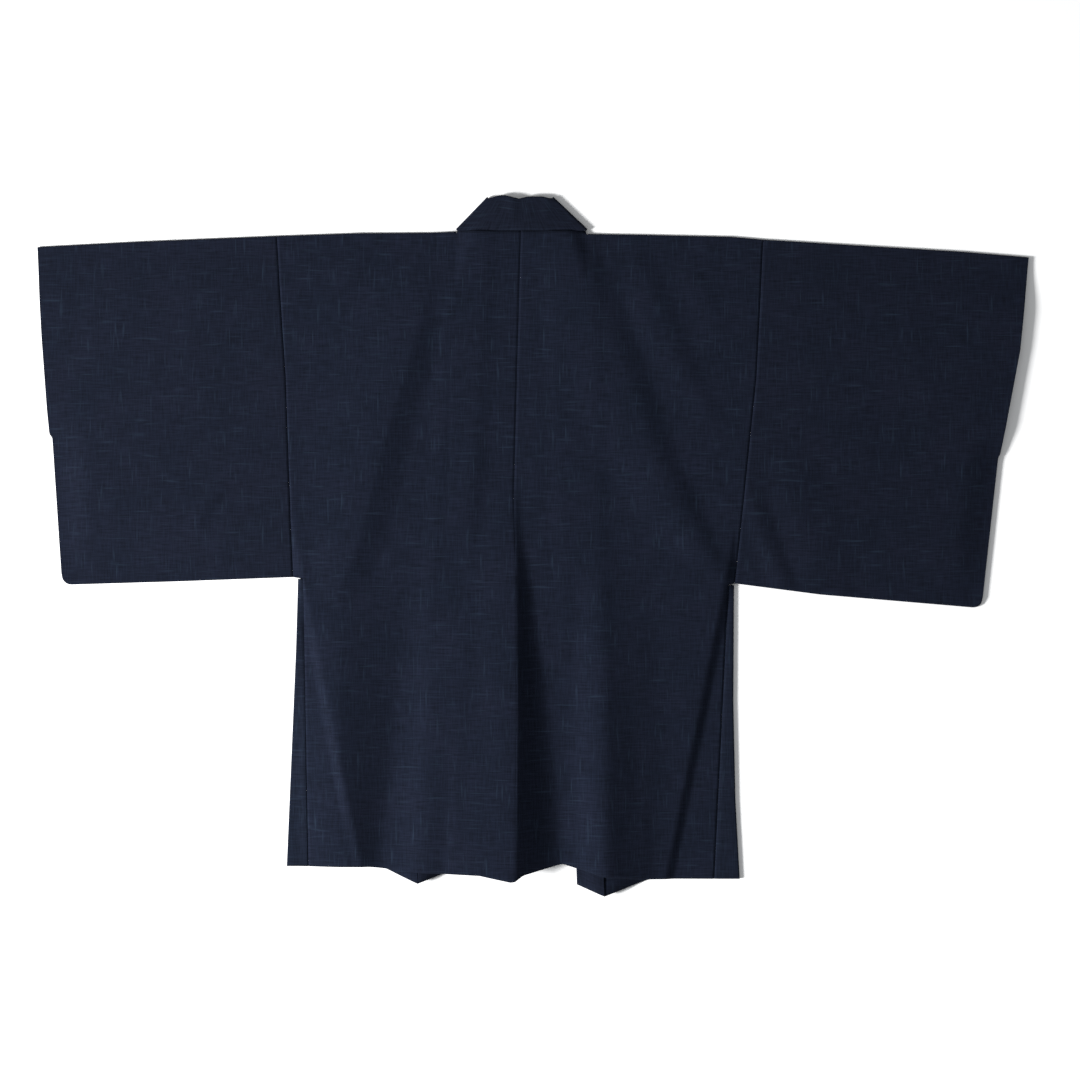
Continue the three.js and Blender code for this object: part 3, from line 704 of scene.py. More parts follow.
@dataclass
class BodyLength:
    """One body length: the front on the floor, the fold at the shoulder, and the back over it."""

    side: Side
    columns: int = 84
    neck_columns: int = 24
    rows: int = 190
    front_rows: int = 60
    shoulder_length: float = 250
    neck_length: float = 92
    neck_share: float = 0.715
    neck_reach: float = 95
    neck_depth: float = 0.8
    centre_seam_end: float = 460
    centre_seam_fade: float = 120
    centre_seam_depths: tuple = (0.3, 0.7)

    def build(self, name: str) -> bpy.types.Object:
        """Plans the front and the back, and makes the piece.

        Args:
            name: the new object's name.

        Returns:
            The piece.
        """
        side = self.side
        inward = -side.sign * SEAM_GAP / 2
        hem = side.gusset_seam.corners[1]
        armhole_top = side.armhole.corners[0]
        outer = Line(side.armhole.corners + side.gusset_seam.corners)
        neck = side.band_seam[0][0]
        shoulder_shares = edge_shares(self.columns, self.shoulder_length, True, False)
        neck_shares = edge_shares(self.neck_columns, self.neck_length, False, True)
        at_neck = self.neck_share
        back_shares = np.concatenate(
            [shoulder_shares * at_neck, mix(at_neck, 1, neck_shares[1:])]
        )
        top_across, hem_across = armhole_top[0] + inward, hem[0] + inward

        def back_top(u: np.ndarray) -> np.ndarray:
            """Follows the top edge of the back: the shoulder fold, then the neck seam.

            Args:
                u: shares of the way from the armhole to the centre seam.

            Returns:
                The places, (across, drop) a row.
            """
            on_shoulder = u <= at_neck + 1e-9
            across = np.where(
                on_shoulder,
                mix(top_across, neck, u / at_neck),
                mix(neck, inward, (u - at_neck) / (1 - at_neck)),
            )
            drop = np.where(on_shoulder, side.shoulder.drop_at(across), NECK_SEAM + SEAM_GAP / 2)
            return np.column_stack([across, drop])

        start = by_drop(outer, armhole_top[1], hem[1], inward)
        back = Panel(
            back_top,
            by_across(side.back_hem, hem_across, CENTRE_HEM[0] + inward),
            start,
            by_drop(CENTRE_SEAM, NECK_SEAM + SEAM_GAP / 2, CENTRE_HEM[1], inward),
        )
        (seam_top, seam_top_drop), (seam_hem, seam_hem_drop) = side.band_seam

        def band_seam(v: np.ndarray) -> np.ndarray:
            """The front's edge along the collar."""
            across = mix(seam_top, seam_hem, v) + inward
            return np.column_stack([across, mix(seam_top_drop, seam_hem_drop, v)])

        front = Panel(
            by_across(side.shoulder, top_across, neck + inward),
            by_across(side.front_hem, hem_across, seam_hem + inward),
            start,
            band_seam,
        )
        return self._shell(name, front, back, shoulder_shares, back_shares, outer)

    def _shell(
        self, name: str, front: Panel, back: Panel,
        shoulder_shares: np.ndarray, back_shares: np.ndarray, outer: Line,
    ) -> bpy.types.Object:
        """Lays the front, the shoulder fold and the back as one sheet.

        Args:
            name: the new object's name.
            front: the front's plan.
            back: the back's plan.
            shoulder_shares: the columns of the front and the fold.
            back_shares: the columns of the back.
            outer: the armhole and the gusset seam.

        Returns:
            The piece.
        """
        side = self.side
        underarm = side.underarm[1]
        hem_drop, top_drop = side.gusset_seam.corners[1][1], side.armhole.corners[0][1]
        jog = (underarm - top_drop) / (hem_drop - top_drop)
        jog_end = (underarm + JOG - top_drop) / (hem_drop - top_drop)
        sheet = Sheet(CLOTH)
        outline = front.at(shoulder_shares, 0)
        low = HEIGHTS.lower(outline[:, 0], outline[:, 1])
        high = HEIGHTS.upper(outline[:, 0], outline[:, 1])
        turn = outline + np.column_stack([np.zeros_like(low), inset_of(low, high, CLOTH)])

        strips = []
        front_shares = self._rows(self.front_rows, jog, jog_end)
        for share in front_shares[:0:-1]:
            plan = front.at(shoulder_shares, share)
            height = HEIGHTS.lower(plan[:, 0], plan[:, 1])
            cloth = np.column_stack([plan[:, 0], -plan[:, 1]])
            strips.append(sheet.add(plan, height, DOWN, cloth))
        strips.append(sheet.add(turn, low, DOWN, np.column_stack([turn[:, 0], -turn[:, 1]])))
        for plan, height, outward, length in half_turn(turn, low, high, np.array([0.0, -1.0])):
            cloth = np.column_stack([plan[:, 0], length - turn[:, 1]])
            strips.append(sheet.add(plan, height, outward, cloth))
        narrow = len(shoulder_shares)
        wide_strips = []
        for row, share in enumerate(self._rows(self.rows, jog, jog_end)):
            plan = back.at(back_shares, share)
            height = HEIGHTS.upper(plan[:, 0], plan[:, 1])
            height = height + self._ditches(plan, outer)
            if row == 0:
                plan[:narrow], height[:narrow] = turn, high
            wide_strips.append(sheet.add(plan, height, UP, plan.copy()))
        strips.append(wide_strips[0][:narrow])
        sheet.grid(strips)
        sheet.grid(wide_strips)
        return sheet.build(name)

    def _ditches(self, plan: np.ndarray, outer: Line) -> np.ndarray:
        """Sinks the sewn edges of the back.

        Args:
            plan: the places, (across, drop) a row.
            outer: the armhole and the gusset seam.

        Returns:
            How far the centre seam, the neck seam and the outer seam sink the cloth there.
        """
        across, drop = plan[:, 0], plan[:, 1]
        centre = np.abs(across - CENTRE_SEAM.across_at(drop))
        outside = np.abs(across - outer.across_at(drop))
        neck = np.where(np.abs(across) < self.neck_reach, np.abs(drop - NECK_SEAM), FAR)
        least, gain = self.centre_seam_depths
        fade = smooth((self.centre_seam_end - drop) / self.centre_seam_fade) * gain + least
        sewn = np.minimum(roll(centre) * fade, roll(outside))
        return np.minimum(sewn, roll(neck) * self.neck_depth)

    @staticmethod
    def _rows(count: int, jog: float, jog_end: float) -> np.ndarray:
        """Spreads rows down the length, with one at each end of the jog under the arm.

        Args:
            count: about how many rows there are.
            jog: the share at which the jog starts.
            jog_end: the share at which it ends.

        Returns:
            The rows' shares of the way down.
        """
        upper = np.linspace(0, jog, int(count * jog) + 1)
        lower = np.linspace(jog_end, 1, int(count * (1 - jog_end)) + 1)
        return np.concatenate([upper, lower])


@dataclass
class Sleeve:
    """A sleeve: a flat tube folded at the top and sewn below, open at the armhole and the cuff."""

    side: Side
    columns: int = 96
    rows: int = 120
    width: float = 330
    corner_cells: tuple = (0, 0.04, 0.15, 0.3, 0.5, 0.75)
    least_row: float = 1
    wall_inset: float = 0.1

    def build(self, name: str) -> bpy.types.Object:
        """Plans the sleeve and makes the piece.

        Args:
            name: the new object's name.

        Returns:
            The piece.
        """
        side = self.side
        outward = side.sign * SEAM_GAP / 2
        cuff_top, cuff_end = side.cuff.corners[0], side.cuff.corners[-1]
        armhole_top, underarm = side.armhole.corners[0], side.underarm
        corner = CORNER_RADIUS / abs(cuff_end[0] - underarm[0])
        bottom_line = by_across(side.sleeve_bottom, cuff_end[0], underarm[0] + outward)

        def bottom(u: np.ndarray) -> np.ndarray:
            """Follows the bottom edge, with its rounded outer corner.

            Args:
                u: shares of the way from the cuff to the armhole.

            Returns:
                The places, (across, drop) a row.
            """
            left = np.maximum(1 - u / corner, 0)
            places = bottom_line(u)
            places[:, 1] -= CORNER_RADIUS * (1 - np.sqrt(1 - left**2))
            return places

        panel = Panel(
            by_across(side.shoulder, cuff_top[0], armhole_top[0] + outward),
            bottom,
            by_drop(side.cuff, cuff_top[1], cuff_end[1], 0),
            by_drop(side.armhole, armhole_top[1], underarm[1], outward),
        )
        round_off = corner * np.array(self.corner_cells)
        even = np.linspace(corner, 1, self.columns + 1)
        near = 1 - np.array(SEAM_CELLS) / self.width
        u = np.unique(np.concatenate([round_off, even, near]))
        notches = (np.array(side.notch) - cuff_top[1]) / (cuff_end[1] - cuff_top[1])
        v = np.unique(np.concatenate([np.linspace(0, 1, self.rows + 1), notches]))
        return self._tube(name, panel, u, v, np.maximum(1 - u / corner, 0), notches[1])

    def _ditch(self, plan: np.ndarray) -> np.ndarray:
        """How far the upper layer sinks beside the armhole."""
        return roll(np.abs(plan[:, 0] - self.side.armhole.across_at(plan[:, 1])))

    def _tube(
        self, name: str, panel: Panel, u: np.ndarray, v: np.ndarray, left: np.ndarray, notch: float
    ) -> bpy.types.Object:
        """Runs the two layers and the two folded edges round as one ring of rows.

        Args:
            name: the new object's name.
            panel: the sleeve's plan.
            u: the columns' shares of the way from the cuff to the armhole.
            v: the rows' shares of the way down.
            left: how much of the rounded corner is left at each column.
            notch: the share down the cuff at which the sewn part starts.

        Returns:
            The piece.
        """
        side = self.side
        sheet = Sheet(CLOTH)
        outline_top, outline_bottom = panel.at(u, 0), panel.at(u, 1)
        out_bottom = np.column_stack([side.sign * left, np.sqrt(1 - left**2)])
        lows, highs = [], []
        for outline in (outline_top, outline_bottom):
            lows.append(HEIGHTS.lower(outline[:, 0], outline[:, 1]))
            highs.append(HEIGHTS.upper(outline[:, 0], outline[:, 1]))
        insets = [inset_of(low, high, CLOTH) for low, high in zip(lows, highs)]
        top = outline_top + np.column_stack([np.zeros_like(u), insets[0]])
        bottom = outline_bottom - out_bottom * insets[1][:, None]
        upper, lower = [], []
        height = (outline_bottom[:, 1] - outline_top[:, 1]).min()
        first, last = (inset.max() + self.least_row for inset in insets)
        inner = [share for share in v[1:-1] if share * height > first]
        inner = [share for share in inner if (1 - share) * height > last]
        layers = [(top, highs[0], lows[0])]
        for share in inner:
            plan = panel.at(u, share)
            high = HEIGHTS.upper(plan[:, 0], plan[:, 1])
            layers.append((plan, high, HEIGHTS.lower(plan[:, 0], plan[:, 1])))
        layers.append((bottom, highs[1], lows[1]))
        for plan, high, low in layers:
            upper.append(sheet.add(plan, high + self._ditch(plan), UP, plan.copy()))
        for plan, _, low in layers:
            cloth = np.column_stack([plan[:, 0], -plan[:, 1]])
            lower.append(sheet.add(plan, low, DOWN, cloth))
        turns = []
        for centre, ends, way_out in (
            (top, (lows[0], highs[0]), np.array([0.0, -1.0])),
            (bottom, (lows[1], highs[1]), out_bottom),
        ):
            ring = []
            for plan, level, outward, length in half_turn(centre, *ends, way_out):
                sign = 1 if centre is top else -1
                cloth = np.column_stack([plan[:, 0], sign * (length - centre[:, 1])])
                ring.append(sheet.add(plan, level, outward, cloth))
            turns.append(ring)
        sheet.grid(upper + turns[1][::-1] + lower[::-1] + turns[0], closed=True)
        self._close_cuff(sheet, upper, lower, [0.0, *inner, 1.0], notch)
        return sheet.build(name)

    def _close_cuff(
        self, sheet: Sheet, upper: list, lower: list, shares: list, notch: float
    ) -> None:
        """Sews the two layers together along the cuff below the notch, with a thin wall.

        Args:
            sheet: the sleeve's sheet.
            upper: the upper layer's rows of corners.
            lower: the lower layer's rows of corners.
            shares: the rows' shares of the way down.
            notch: the share at which the sewn part starts.
        """
        places, cloth = np.vstack(sheet.places), np.vstack(sheet.cloth)
        inner = -self.side.sign * (CLOTH / 2 + self.wall_inset)
        out = np.array([self.side.sign, 0.0, 0.0])
        rows = []
        for share, below, above in zip(shares, lower, upper):
            if share >= notch - 1e-6:
                ends = [below[0], above[0]]
                plan = places[ends][:, :2] * [1, -1] + [inner, 0]
                rows.append(sheet.add(plan, places[ends][:, 2], out, cloth[ends]))
        sheet.grid(rows)


@dataclass
class Gusset:
    """A side gusset: a narrow wedge folded down its middle, from the back seam to the front seam."""

    side: Side
    rows: int = 120
    shares: tuple = (0, 0.06, 0.14, 0.3, 0.5, 0.75, 1.0)

    def build(self, name: str) -> bpy.types.Object:
        """Lays the upper half, the turn at the fold and the lower half.

        Args:
            name: the new object's name.

        Returns:
            The piece.
        """
        side = self.side
        start, hem = (corner[1] for corner in side.gusset_seam.corners)
        drop = mix(start + SEAM_GAP, hem, np.linspace(0, 1, self.rows + 1))
        seam = side.gusset_seam.across_at(drop) + side.sign * SEAM_GAP / 2
        edge = side.side.across_at(drop)
        low, high = HEIGHTS.lower(edge, drop), HEIGHTS.upper(edge, drop)
        centre = edge - side.sign * inset_of(low, high, CLOTH)
        sheet = Sheet(CLOTH)
        upper, lower = [], []
        for share in self.shares:
            across = mix(seam, centre, share)
            plan = np.column_stack([across, drop])
            level = high
            if share < 1:
                level = HEIGHTS.upper(across, drop) + roll(np.abs(across - seam))
            upper.append(sheet.add(plan, level, UP, plan.copy()))
        for share in self.shares[::-1]:
            across = mix(seam, centre, share)
            plan = np.column_stack([across, drop])
            level = low if share == 1 else HEIGHTS.lower(across, drop)
            cloth = np.column_stack([2 * edge - across, drop])
            lower.append(sheet.add(plan, level, DOWN, cloth))
        plan = np.column_stack([centre, drop])
        turn = []
        way_out = np.array([side.sign, 0.0])
        for places, level, outward, length in half_turn(plan, low, high, way_out):
            cloth = np.column_stack([2 * edge - centre - side.sign * length, drop])
            turn.append(sheet.add(places, level, outward, cloth))
        sheet.grid(upper + turn[::-1] + lower)
        return sheet.build(name)


@dataclass
class Collar:
    """The collar band: up the left front, over its fold, across the nape and down the right front."""

    across_cells: int = 20
    leg_sections: int = 150
    nape_sections: int = 90
    width: float = 50
    cloth_width: float = 55
    settle_rate: float = 6
    seam_depth: float = 0.8
    soft_folds: tuple = ((-13, 1.3, 9), (38, 0.9, 11))
    soft_reach: float = 45

    def build(self, name: str) -> bpy.types.Object:
        """Lays the collar's sections one after the other, from hem to hem.

        Args:
            name: the new object's name.

        Returns:
            The piece.
        """
        sheet = Sheet(BAND)
        shares = edge_shares(self.across_cells, self.width, True, False)
        folds = {side.sign: self._fold(side) for side in (LEFT, RIGHT)}
        sections: list[Section] = []
        sections += self._leg(LEFT, folds[-1], shares)[::-1]
        sections += self._turn(folds[-1], shares)
        sections += self._nape(folds, shares)
        sections += self._turn(folds[1], shares)[::-1]
        sections += self._leg(RIGHT, folds[1], shares)
        length, previous, rows = 0.0, None, []
        for plan, height, outward in sections:
            middle = np.array([*plan[len(plan) // 2], height[len(plan) // 2]])
            length += 0.0 if previous is None else float(np.linalg.norm(middle - previous))
            previous = middle
            cloth = np.column_stack([shares * self.cloth_width, np.full(len(plan), length)])
            rows.append(sheet.add(plan, height, outward, cloth))
        sheet.grid(rows)
        return sheet.build(name)

    @staticmethod
    def _fold(side: Side) -> dict:
        """Places the slanted fold where the collar turns from the nape to a front.

        Args:
            side: the side it lies on.

        Returns:
            Its two heights, the way out of it, and its ends at the seam and at the free edge.
        """
        low, high = BAND / 2, NAPE_FOLD
        seam_end, free_end = np.array(side.band_seam[0], float), np.array(side.band_edge[0], float)
        run = (free_end - seam_end) / np.linalg.norm(free_end - seam_end)
        out = np.array([run[1], -run[0]]) * -side.sign
        out = out * (-1 if out[1] > 0 else 1)
        inset = inset_of(low, high, BAND)
        free = free_end - out * inset
        seam = np.array([seam_end[0] - out[0] * inset, NECK_SEAM - SEAM_GAP / 2])
        return {"low": low, "high": high, "out": out, "seam": seam, "free": free}

    def _leg(self, side: Side, fold: dict, shares: np.ndarray) -> list[Section]:
        """Runs the collar down one front.

        Args:
            side: the side it lies on.
            fold: the slanted fold it starts from.
            shares: the corners' shares of the way across the band.

        Returns:
            The sections from the fold to the hem.
        """
        first = mix(fold["seam"], fold["free"], shares[:, None])
        sections = [(first, np.full(len(shares), fold["low"]), DOWN)]
        for along in np.linspace(0, 1, self.leg_sections + 1)[1:]:
            seam = mix(np.array(side.band_seam[0]), np.array(side.band_seam[1]), along)
            free = mix(np.array(side.band_edge[0]), np.array(side.band_edge[1]), along)
            seam = seam - np.array([side.sign * SEAM_GAP / 2, 0])
            plan = mix(seam, free, shares[:, None])
            sections.append((plan, HEIGHTS.lower(plan[:, 0], plan[:, 1], BAND), DOWN))
        return sections

    @staticmethod
    def _turn(fold: dict, shares: np.ndarray) -> list[Section]:
        """The sections round a slanted fold."""
        plan = mix(fold["seam"], fold["free"], shares[:, None])
        low, high = (np.full(len(shares), fold[key]) for key in ("low", "high"))
        return [(p, h, o) for p, h, o, _ in half_turn(plan, low, high, fold["out"])]

    def _nape(self, folds: dict, shares: np.ndarray) -> list[Section]:
        """Runs the collar across the nape.

        Args:
            folds: the two slanted folds, by their side's sign.
            shares: the corners' shares of the way across the band.

        Returns:
            The sections from the left fold to the right one.
        """
        left, right = folds[-1], folds[1]
        sections = []
        for along in np.linspace(0, 1, self.nape_sections + 1):
            seam = np.array([mix(left["seam"][0], right["seam"][0], along), left["seam"][1]])
            across = mix(left["free"][0], right["free"][0], along)
            inner = mix(left["free"][1], right["free"][1], along) - LEFT.band_edge[0][1]
            settle = 1 - smooth(min(along, 1 - along) * self.settle_rate)
            free = np.array([across, NAPE_EDGE.drop_at(across) + inner * settle])
            plan = mix(seam, free, shares[:, None])
            rise = math.sin(math.pi * along) * mix(NAPE_RISE_AT_SEAM, NAPE_RISE_AT_EDGE, shares)
            height = NAPE_FOLD + rise + self._soft(plan, along)
            height = height + self.seam_depth * roll(np.abs(plan[:, 1] - left["seam"][1]))
            sections.append((plan, height, UP))
        return sections

    def _soft(self, plan: np.ndarray, along: float) -> np.ndarray:
        """Raises the soft folds that run up the collar behind the neck.

        Args:
            plan: the places, (across, drop) a row.
            along: the share of the way across the nape.

        Returns:
            How far the folds lift the cloth there.
        """
        across, drop = plan[:, 0], plan[:, 1]
        near_edge = smooth(-drop / self.soft_reach) * math.sqrt(math.sin(math.pi * along))
        folds = sum(
            rise * np.exp(-(((across - crest) / reach) ** 2))
            for crest, rise, reach in self.soft_folds
        )
        return folds * near_edge


# ---------------------------------------------------------------- finishes


class Slot(Enum):
    """The finishes the record names."""

    BODY = "body_cloth"
    SLEEVE = "sleeve_cloth"
    GUSSET = "gusset_cloth"
    COLLAR = "collar_cloth"


@dataclass(frozen=True)
class WeaveWithPaintedLight:
    """The colours of one piece's cloth, scaled in brightness to paint that piece's light and shade,
    and how far along the bolt it starts, in metres.
    """

    dark: tuple
    light: tuple
    teal: tuple
    violet: tuple
    shift: float


@dataclass(frozen=True)
class Threads:
    """One set of irregular threads: cells a metre each way, detail, and the values that show."""

    scale: tuple
    detail: float
    low: float
    high: float


Value = bpy.types.NodeSocket | float | tuple


class Tree:
    """Builds a node tree with short calls."""

    def __init__(self, tree: bpy.types.NodeTree) -> None:
        """Keeps the tree to add nodes to."""
        self.tree = tree

    def node(self, kind: str, inputs: dict | None = None, **settings: object) -> bpy.types.Node:
        """Adds a node.

        Args:
            kind: the node's type.
            inputs: sockets, by name or number, and what each is linked or set to.
            settings: the node's own attributes.

        Returns:
            The new node.
        """
        node = self.tree.nodes.new(kind)
        for key, value in settings.items():
            setattr(node, key, value)
        for key, value in (inputs or {}).items():
            if isinstance(value, bpy.types.NodeSocket):
                self.tree.links.new(value, node.inputs[key])
            else:
                node.inputs[key].default_value = value
        return node

    def math(self, operation: str, a: Value, b: Value) -> bpy.types.NodeSocket:
        """The result of one sum on two values."""
        return self.node("ShaderNodeMath", {0: a, 1: b}, operation=operation).outputs[0]

    def noise(self, place: Value, scale: float, detail: float) -> bpy.types.NodeSocket:
        """The value of a noise."""
        inputs = {"Vector": place, "Scale": scale, "Detail": detail, "Roughness": 0.55}
        return self.node("ShaderNodeTexNoise", inputs).outputs["Fac"]

    def band(self, value: Value, low: float, high: float) -> bpy.types.NodeSocket:
        """The value stretched so that low becomes 0 and high becomes 1."""
        inputs = {"Value": value, "From Min": low, "From Max": high}
        return self.node("ShaderNodeMapRange", inputs).outputs["Result"]

    def blend(self, share: Value, first: Value, second: Value) -> bpy.types.NodeSocket:
        """A mix of two colours, whose sockets are the mix node's 6 and 7."""
        inputs = {0: share, 6: first, 7: second}
        return self.node("ShaderNodeMix", inputs, data_type="RGBA").outputs[2]


class ThreadGroup:
    """The shared weave: irregular threads both ways, as masks and a height."""

    OUTPUTS = ("Along", "Across", "Slub", "Patch", "Fine", "Height")
    SETS = {
        "Along": Threads((520, 38, 1), 2.5, 0.34, 0.70),
        "Across": Threads((38, 520, 1), 2.5, 0.34, 0.70),
        "Slub along": Threads((260, 22, 1), 1.0, 0.62, 0.80),
        "Slub across": Threads((22, 260, 1), 1.0, 0.62, 0.80),
        "Fine": Threads((1500, 1500, 1), 0.0, 0.3, 0.7),
        "Patch": Threads((14, 14, 1), 3.0, 0.35, 0.68),
    }
    THREAD_HEIGHT = 0.35
    FINE_HEIGHT = 0.25

    def build(self) -> bpy.types.NodeTree:
        """Makes the node group.

        Returns:
            The group, with the cloth coordinate as its input.
        """
        group = bpy.data.node_groups.new("threads", "ShaderNodeTree")
        group.interface.new_socket("Place", in_out="INPUT", socket_type="NodeSocketVector")
        for name in self.OUTPUTS:
            group.interface.new_socket(name, in_out="OUTPUT", socket_type="NodeSocketFloat")
        tree = Tree(group)
        place = group.nodes.new("NodeGroupInput").outputs[0]
        masks = {}
        for name, threads in self.SETS.items():
            inputs = {"Vector": place, "Scale": threads.scale}
            stretched = tree.node("ShaderNodeMapping", inputs, vector_type="POINT").outputs[0]
            value = tree.noise(stretched, 1.0, threads.detail)
            masks[name] = tree.band(value, threads.low, threads.high)
        masks["Slub"] = tree.math("MAXIMUM", masks["Slub along"], masks["Slub across"])
        both = tree.math("ADD", masks["Along"], masks["Across"])
        height = tree.math("MULTIPLY", both, self.THREAD_HEIGHT)
        for name, share in (("Slub", self.THREAD_HEIGHT), ("Fine", self.FINE_HEIGHT)):
            height = tree.math("ADD", height, tree.math("MULTIPLY", masks[name], share))
        masks["Height"] = height
        tree.node("NodeGroupOutput", {name: masks[name] for name in self.OUTPUTS})
        return group


@dataclass
class ClothMaterial:
    """A matt woven cloth with a little sheen."""

    threads: bpy.types.NodeTree
    slub_share: float = 0.45
    violet_share: float = 0.35
    roughness: float = 0.94
    slub_gloss: float = 0.08
    bump_strength: float = 0.45
    bump_height: float = 0.0004
    specular: float = 0.05
    sheen: float = 0.02
    sheen_roughness: float = 0.5
    sheen_tint: tuple = (0.55, 0.65, 0.85, 1.0)

    def build(self, slot: Slot, weave: WeaveWithPaintedLight) -> bpy.types.Material:
        """Makes the material of one cut.

        Args:
            slot: the finish it is.
            weave: its colours, scaled in brightness as the piece's painted light and shade.

        Returns:
            The material.
        """
        material = bpy.data.materials.new(slot.value)
        material.use_nodes = True
        material.node_tree.nodes.clear()
        tree = Tree(material.node_tree)
        uv = tree.node("ShaderNodeUVMap", uv_map="cloth").outputs[0]
        shift = (weave.shift, weave.shift, 0)
        moved = tree.node("ShaderNodeMapping", {"Vector": uv, "Location": shift}).outputs[0]
        group = tree.node("ShaderNodeGroup", node_tree=self.threads)
        tree.tree.links.new(moved, group.inputs["Place"])
        out = group.outputs
        threads = tree.math("MULTIPLY", tree.math("ADD", out["Along"], out["Across"]), 0.5)
        threads = tree.math("MULTIPLY", threads, tree.band(out["Fine"], -1.0, 1.0))
        colour = tree.blend(threads, weave.dark, weave.light)
        colour = tree.blend(tree.math("MULTIPLY", out["Slub"], self.slub_share), colour, weave.teal)
        violet = tree.math("MULTIPLY", out["Patch"], out["Across"])
        colour = tree.blend(tree.math("MULTIPLY", violet, self.violet_share), colour, weave.violet)
        bump = tree.node("ShaderNodeBump", {
            "Height": out["Height"],
            "Strength": self.bump_strength,
            "Distance": self.bump_height,
        })
        gloss = tree.math("MULTIPLY", out["Slub"], self.slub_gloss)
        shader = tree.node("ShaderNodeBsdfPrincipled", {
            "Base Color": colour,
            "Normal": bump.outputs[0],
            "Roughness": tree.math("SUBTRACT", self.roughness, gloss),
            "Specular IOR Level": self.specular,
            "Sheen Weight": self.sheen,
            "Sheen Roughness": self.sheen_roughness,
            "Sheen Tint": self.sheen_tint,
        })
        tree.node("ShaderNodeOutputMaterial", {"Surface": shader.outputs[0]})
        return material


def tone(red: float, green: float, blue: float) -> tuple:
    """A colour with full opacity."""
    return (red, green, blue, 1.0)


# One cloth in four copies. Against the body's tones, the gusset's are lighter as painted light, and
# the sleeve's and the collar's are darker as painted shade.
WEAVES_WITH_PAINTED_LIGHT = {
    Slot.BODY: WeaveWithPaintedLight(
        tone(0.0032, 0.0044, 0.0087), tone(0.0085, 0.0122, 0.0249),
        tone(0.0135, 0.0232, 0.0392), tone(0.0115, 0.0122, 0.0246), 0.0,
    ),
    # Painted shade: the sleeve's tones are a little darker than the body's.
    Slot.SLEEVE: WeaveWithPaintedLight(
        tone(0.0032, 0.0042, 0.0083), tone(0.0081, 0.0116, 0.0235),
        tone(0.0131, 0.0226, 0.0381), tone(0.0112, 0.0118, 0.0235), 3.1,
    ),
    # Painted light: the gusset's tones are about a tenth lighter than the body's.
    Slot.GUSSET: WeaveWithPaintedLight(
        tone(0.0036, 0.0050, 0.0095), tone(0.0095, 0.0138, 0.0269),
        tone(0.0144, 0.0248, 0.0414), tone(0.0122, 0.0132, 0.0258), 5.7,
    ),
    # Painted shade: the collar's tones are darker than the body's.
    Slot.COLLAR: WeaveWithPaintedLight(
        tone(0.0032, 0.0042, 0.0081), tone(0.0081, 0.0114, 0.0226),
        tone(0.0126, 0.0216, 0.0358), tone(0.0110, 0.0116, 0.0228), 8.3,
    ),
}


# ---------------------------------------------------------------- the floor, the light, the camera


@dataclass
class Studio:
    """A pale floor under a low soft light from the left, seen from straight above."""

    floor_size: float = 9.0
    floor_level: float = -0.0003
    floor_roughness: float = 0.95
    floor_specular: float = 0.1
    floor_tones: tuple = (0.86, 0.89)
    lamp_azimuth: float = 194
    lamp_elevation: float = 27
    lamp_distance: float = 4.4
    lamp_power: float = 540.0
    lamp_size: float = 1.0
    sky: tuple = (0.96, 0.98, 1.0, 1.0)
    sky_strength: float = 0.42
    frame_width: float = 1.527
    sensor: float = 36.0
    height: float = 3.2
    centre: tuple = (0.0099, 0.0081)

    def floor(self) -> None:
        """Lays the floor just under the cloth."""
        bpy.ops.mesh.primitive_plane_add(size=self.floor_size, location=(0, 0, self.floor_level))
        floor = bpy.context.object
        floor.name = "floor"
        material = bpy.data.materials.new("floor")
        material.use_nodes = True
        tree = Tree(material.node_tree)
        shader = material.node_tree.nodes["Principled BSDF"]
        shader.inputs["Roughness"].default_value = self.floor_roughness
        shader.inputs["Specular IOR Level"].default_value = self.floor_specular
        place = tree.node("ShaderNodeTexCoord").outputs["Object"]
        dark, light = (tone(value, value, value) for value in self.floor_tones)
        colour = tree.blend(tree.noise(place, 1.2, 3.0), dark, light)
        material.node_tree.links.new(colour, shader.inputs["Base Color"])
        floor.data.materials.append(material)

    def light(self) -> None:
        """Hangs a wide lamp low on the left, under a pale sky."""
        azimuth, elevation = math.radians(self.lamp_azimuth), math.radians(self.lamp_elevation)
        way = Vector((
            math.cos(azimuth) * math.cos(elevation),
            math.sin(azimuth) * math.cos(elevation),
            math.sin(elevation),
        ))
        lamp = bpy.data.lights.new("key", "AREA")
        lamp.energy, lamp.size = self.lamp_power, self.lamp_size
        key = bpy.data.objects.new("key", lamp)
        key.location = way * self.lamp_distance
        key.rotation_euler = way.to_track_quat("Z", "Y").to_euler()
        bpy.context.scene.collection.objects.link(key)
        world = bpy.data.worlds.new("sky")
        world.use_nodes = True
        background = world.node_tree.nodes["Background"]
        background.inputs["Color"].default_value = self.sky
        background.inputs["Strength"].default_value = self.sky_strength
        bpy.context.scene.world = world

    def camera(self) -> None:
        """Hangs the camera straight above."""
        data = bpy.data.cameras.new("camera")
        data.sensor_width = self.sensor
        data.lens = data.sensor_width * self.height / self.frame_width
        camera = bpy.data.objects.new("camera", data)
        camera.location = (*self.centre, self.height)
        bpy.context.scene.collection.objects.link(camera)
        bpy.context.scene.camera = camera


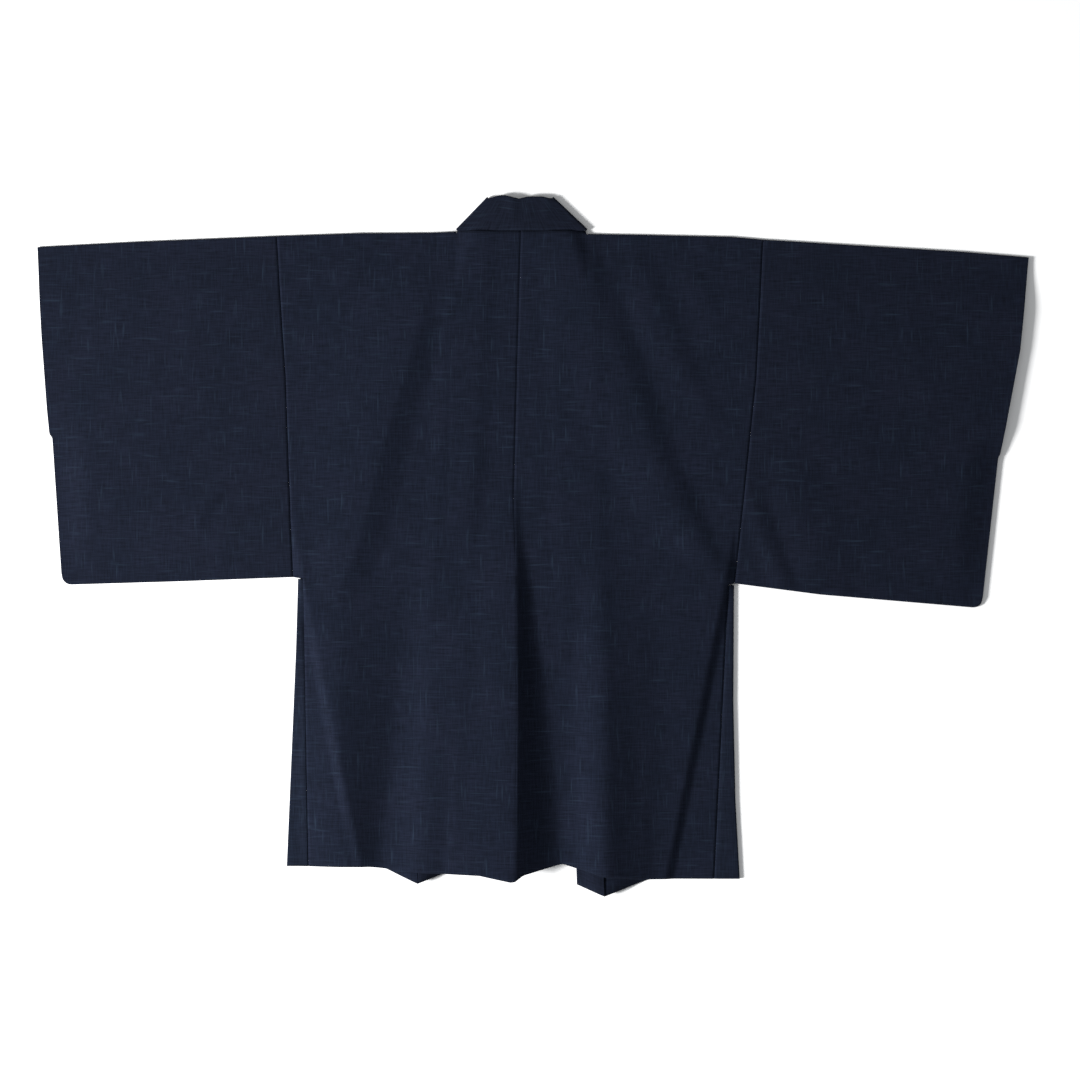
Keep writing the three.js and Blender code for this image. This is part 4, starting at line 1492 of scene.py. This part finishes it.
# ---------------------------------------------------------------- the jacket


@dataclass(frozen=True)
class Cut:
    """A piece's place in the frame, its finish and its flat cut, in metres."""

    name: str
    node: str
    maker: BodyLength | Sleeve | Gusset | Collar
    slot: Slot
    flat: tuple
    area: float


class Haori:
    """The laid jacket: seven pieces, each standing for its own CAD node."""

    CUTS = (
        Cut("body_left_cloth", "body_left", BodyLength(LEFT), Slot.BODY, (0.345, 1.82), 0.470),
        Cut("body_right_cloth", "body_right", BodyLength(RIGHT), Slot.BODY, (0.345, 1.84), 0.474),
        Cut("sleeve_left_cloth", "sleeve_left", Sleeve(LEFT), Slot.SLEEVE, (0.345, 0.985), 0.325),
        Cut("sleeve_right_cloth", "sleeve_right", Sleeve(RIGHT), Slot.SLEEVE, (0.370, 1.005), 0.360),
        Cut("gusset_left_cloth", "gusset_left", Gusset(LEFT), Slot.GUSSET, (0.066, 0.406), 0.0156),
        Cut("gusset_right_cloth", "gusset_right", Gusset(RIGHT), Slot.GUSSET, (0.072, 0.416), 0.0165),
        Cut("collar_band", "collar", Collar(), Slot.COLLAR, (0.062, 2.03), 0.092),
    )

    def __init__(self, materials: dict[Slot, bpy.types.Material]) -> None:
        """Keeps the finishes by slot."""
        self.materials = materials
        self.pieces: dict[str, bpy.types.Object] = {}

    def build(self) -> None:
        """Makes every piece and tells the frame about it."""
        for cut in self.CUTS:
            piece = cut.maker.build(cut.name)
            piece.data.materials.append(self.materials[cut.slot])
            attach(piece, "root")
            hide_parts(cut.node)
            self.pieces[cut.node] = piece
            LOG.info("%s: %d faces", cut.name, len(piece.data.polygons))
        for cut in self.CUTS:
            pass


def main() -> None:
    """Builds the jacket, the floor, the light and the camera."""
    logging.basicConfig(level=logging.INFO, format="%(message)s")
    bpy.context.scene.view_settings.view_transform = "Standard"
    studio = Studio()
    studio.floor()
    finish = ClothMaterial(ThreadGroup().build())
    Haori({slot: finish.build(slot, weave) for slot, weave in WEAVES_WITH_PAINTED_LIGHT.items()}).build()
    studio.light()
    studio.camera()


if __name__ == "__main__":
    main()
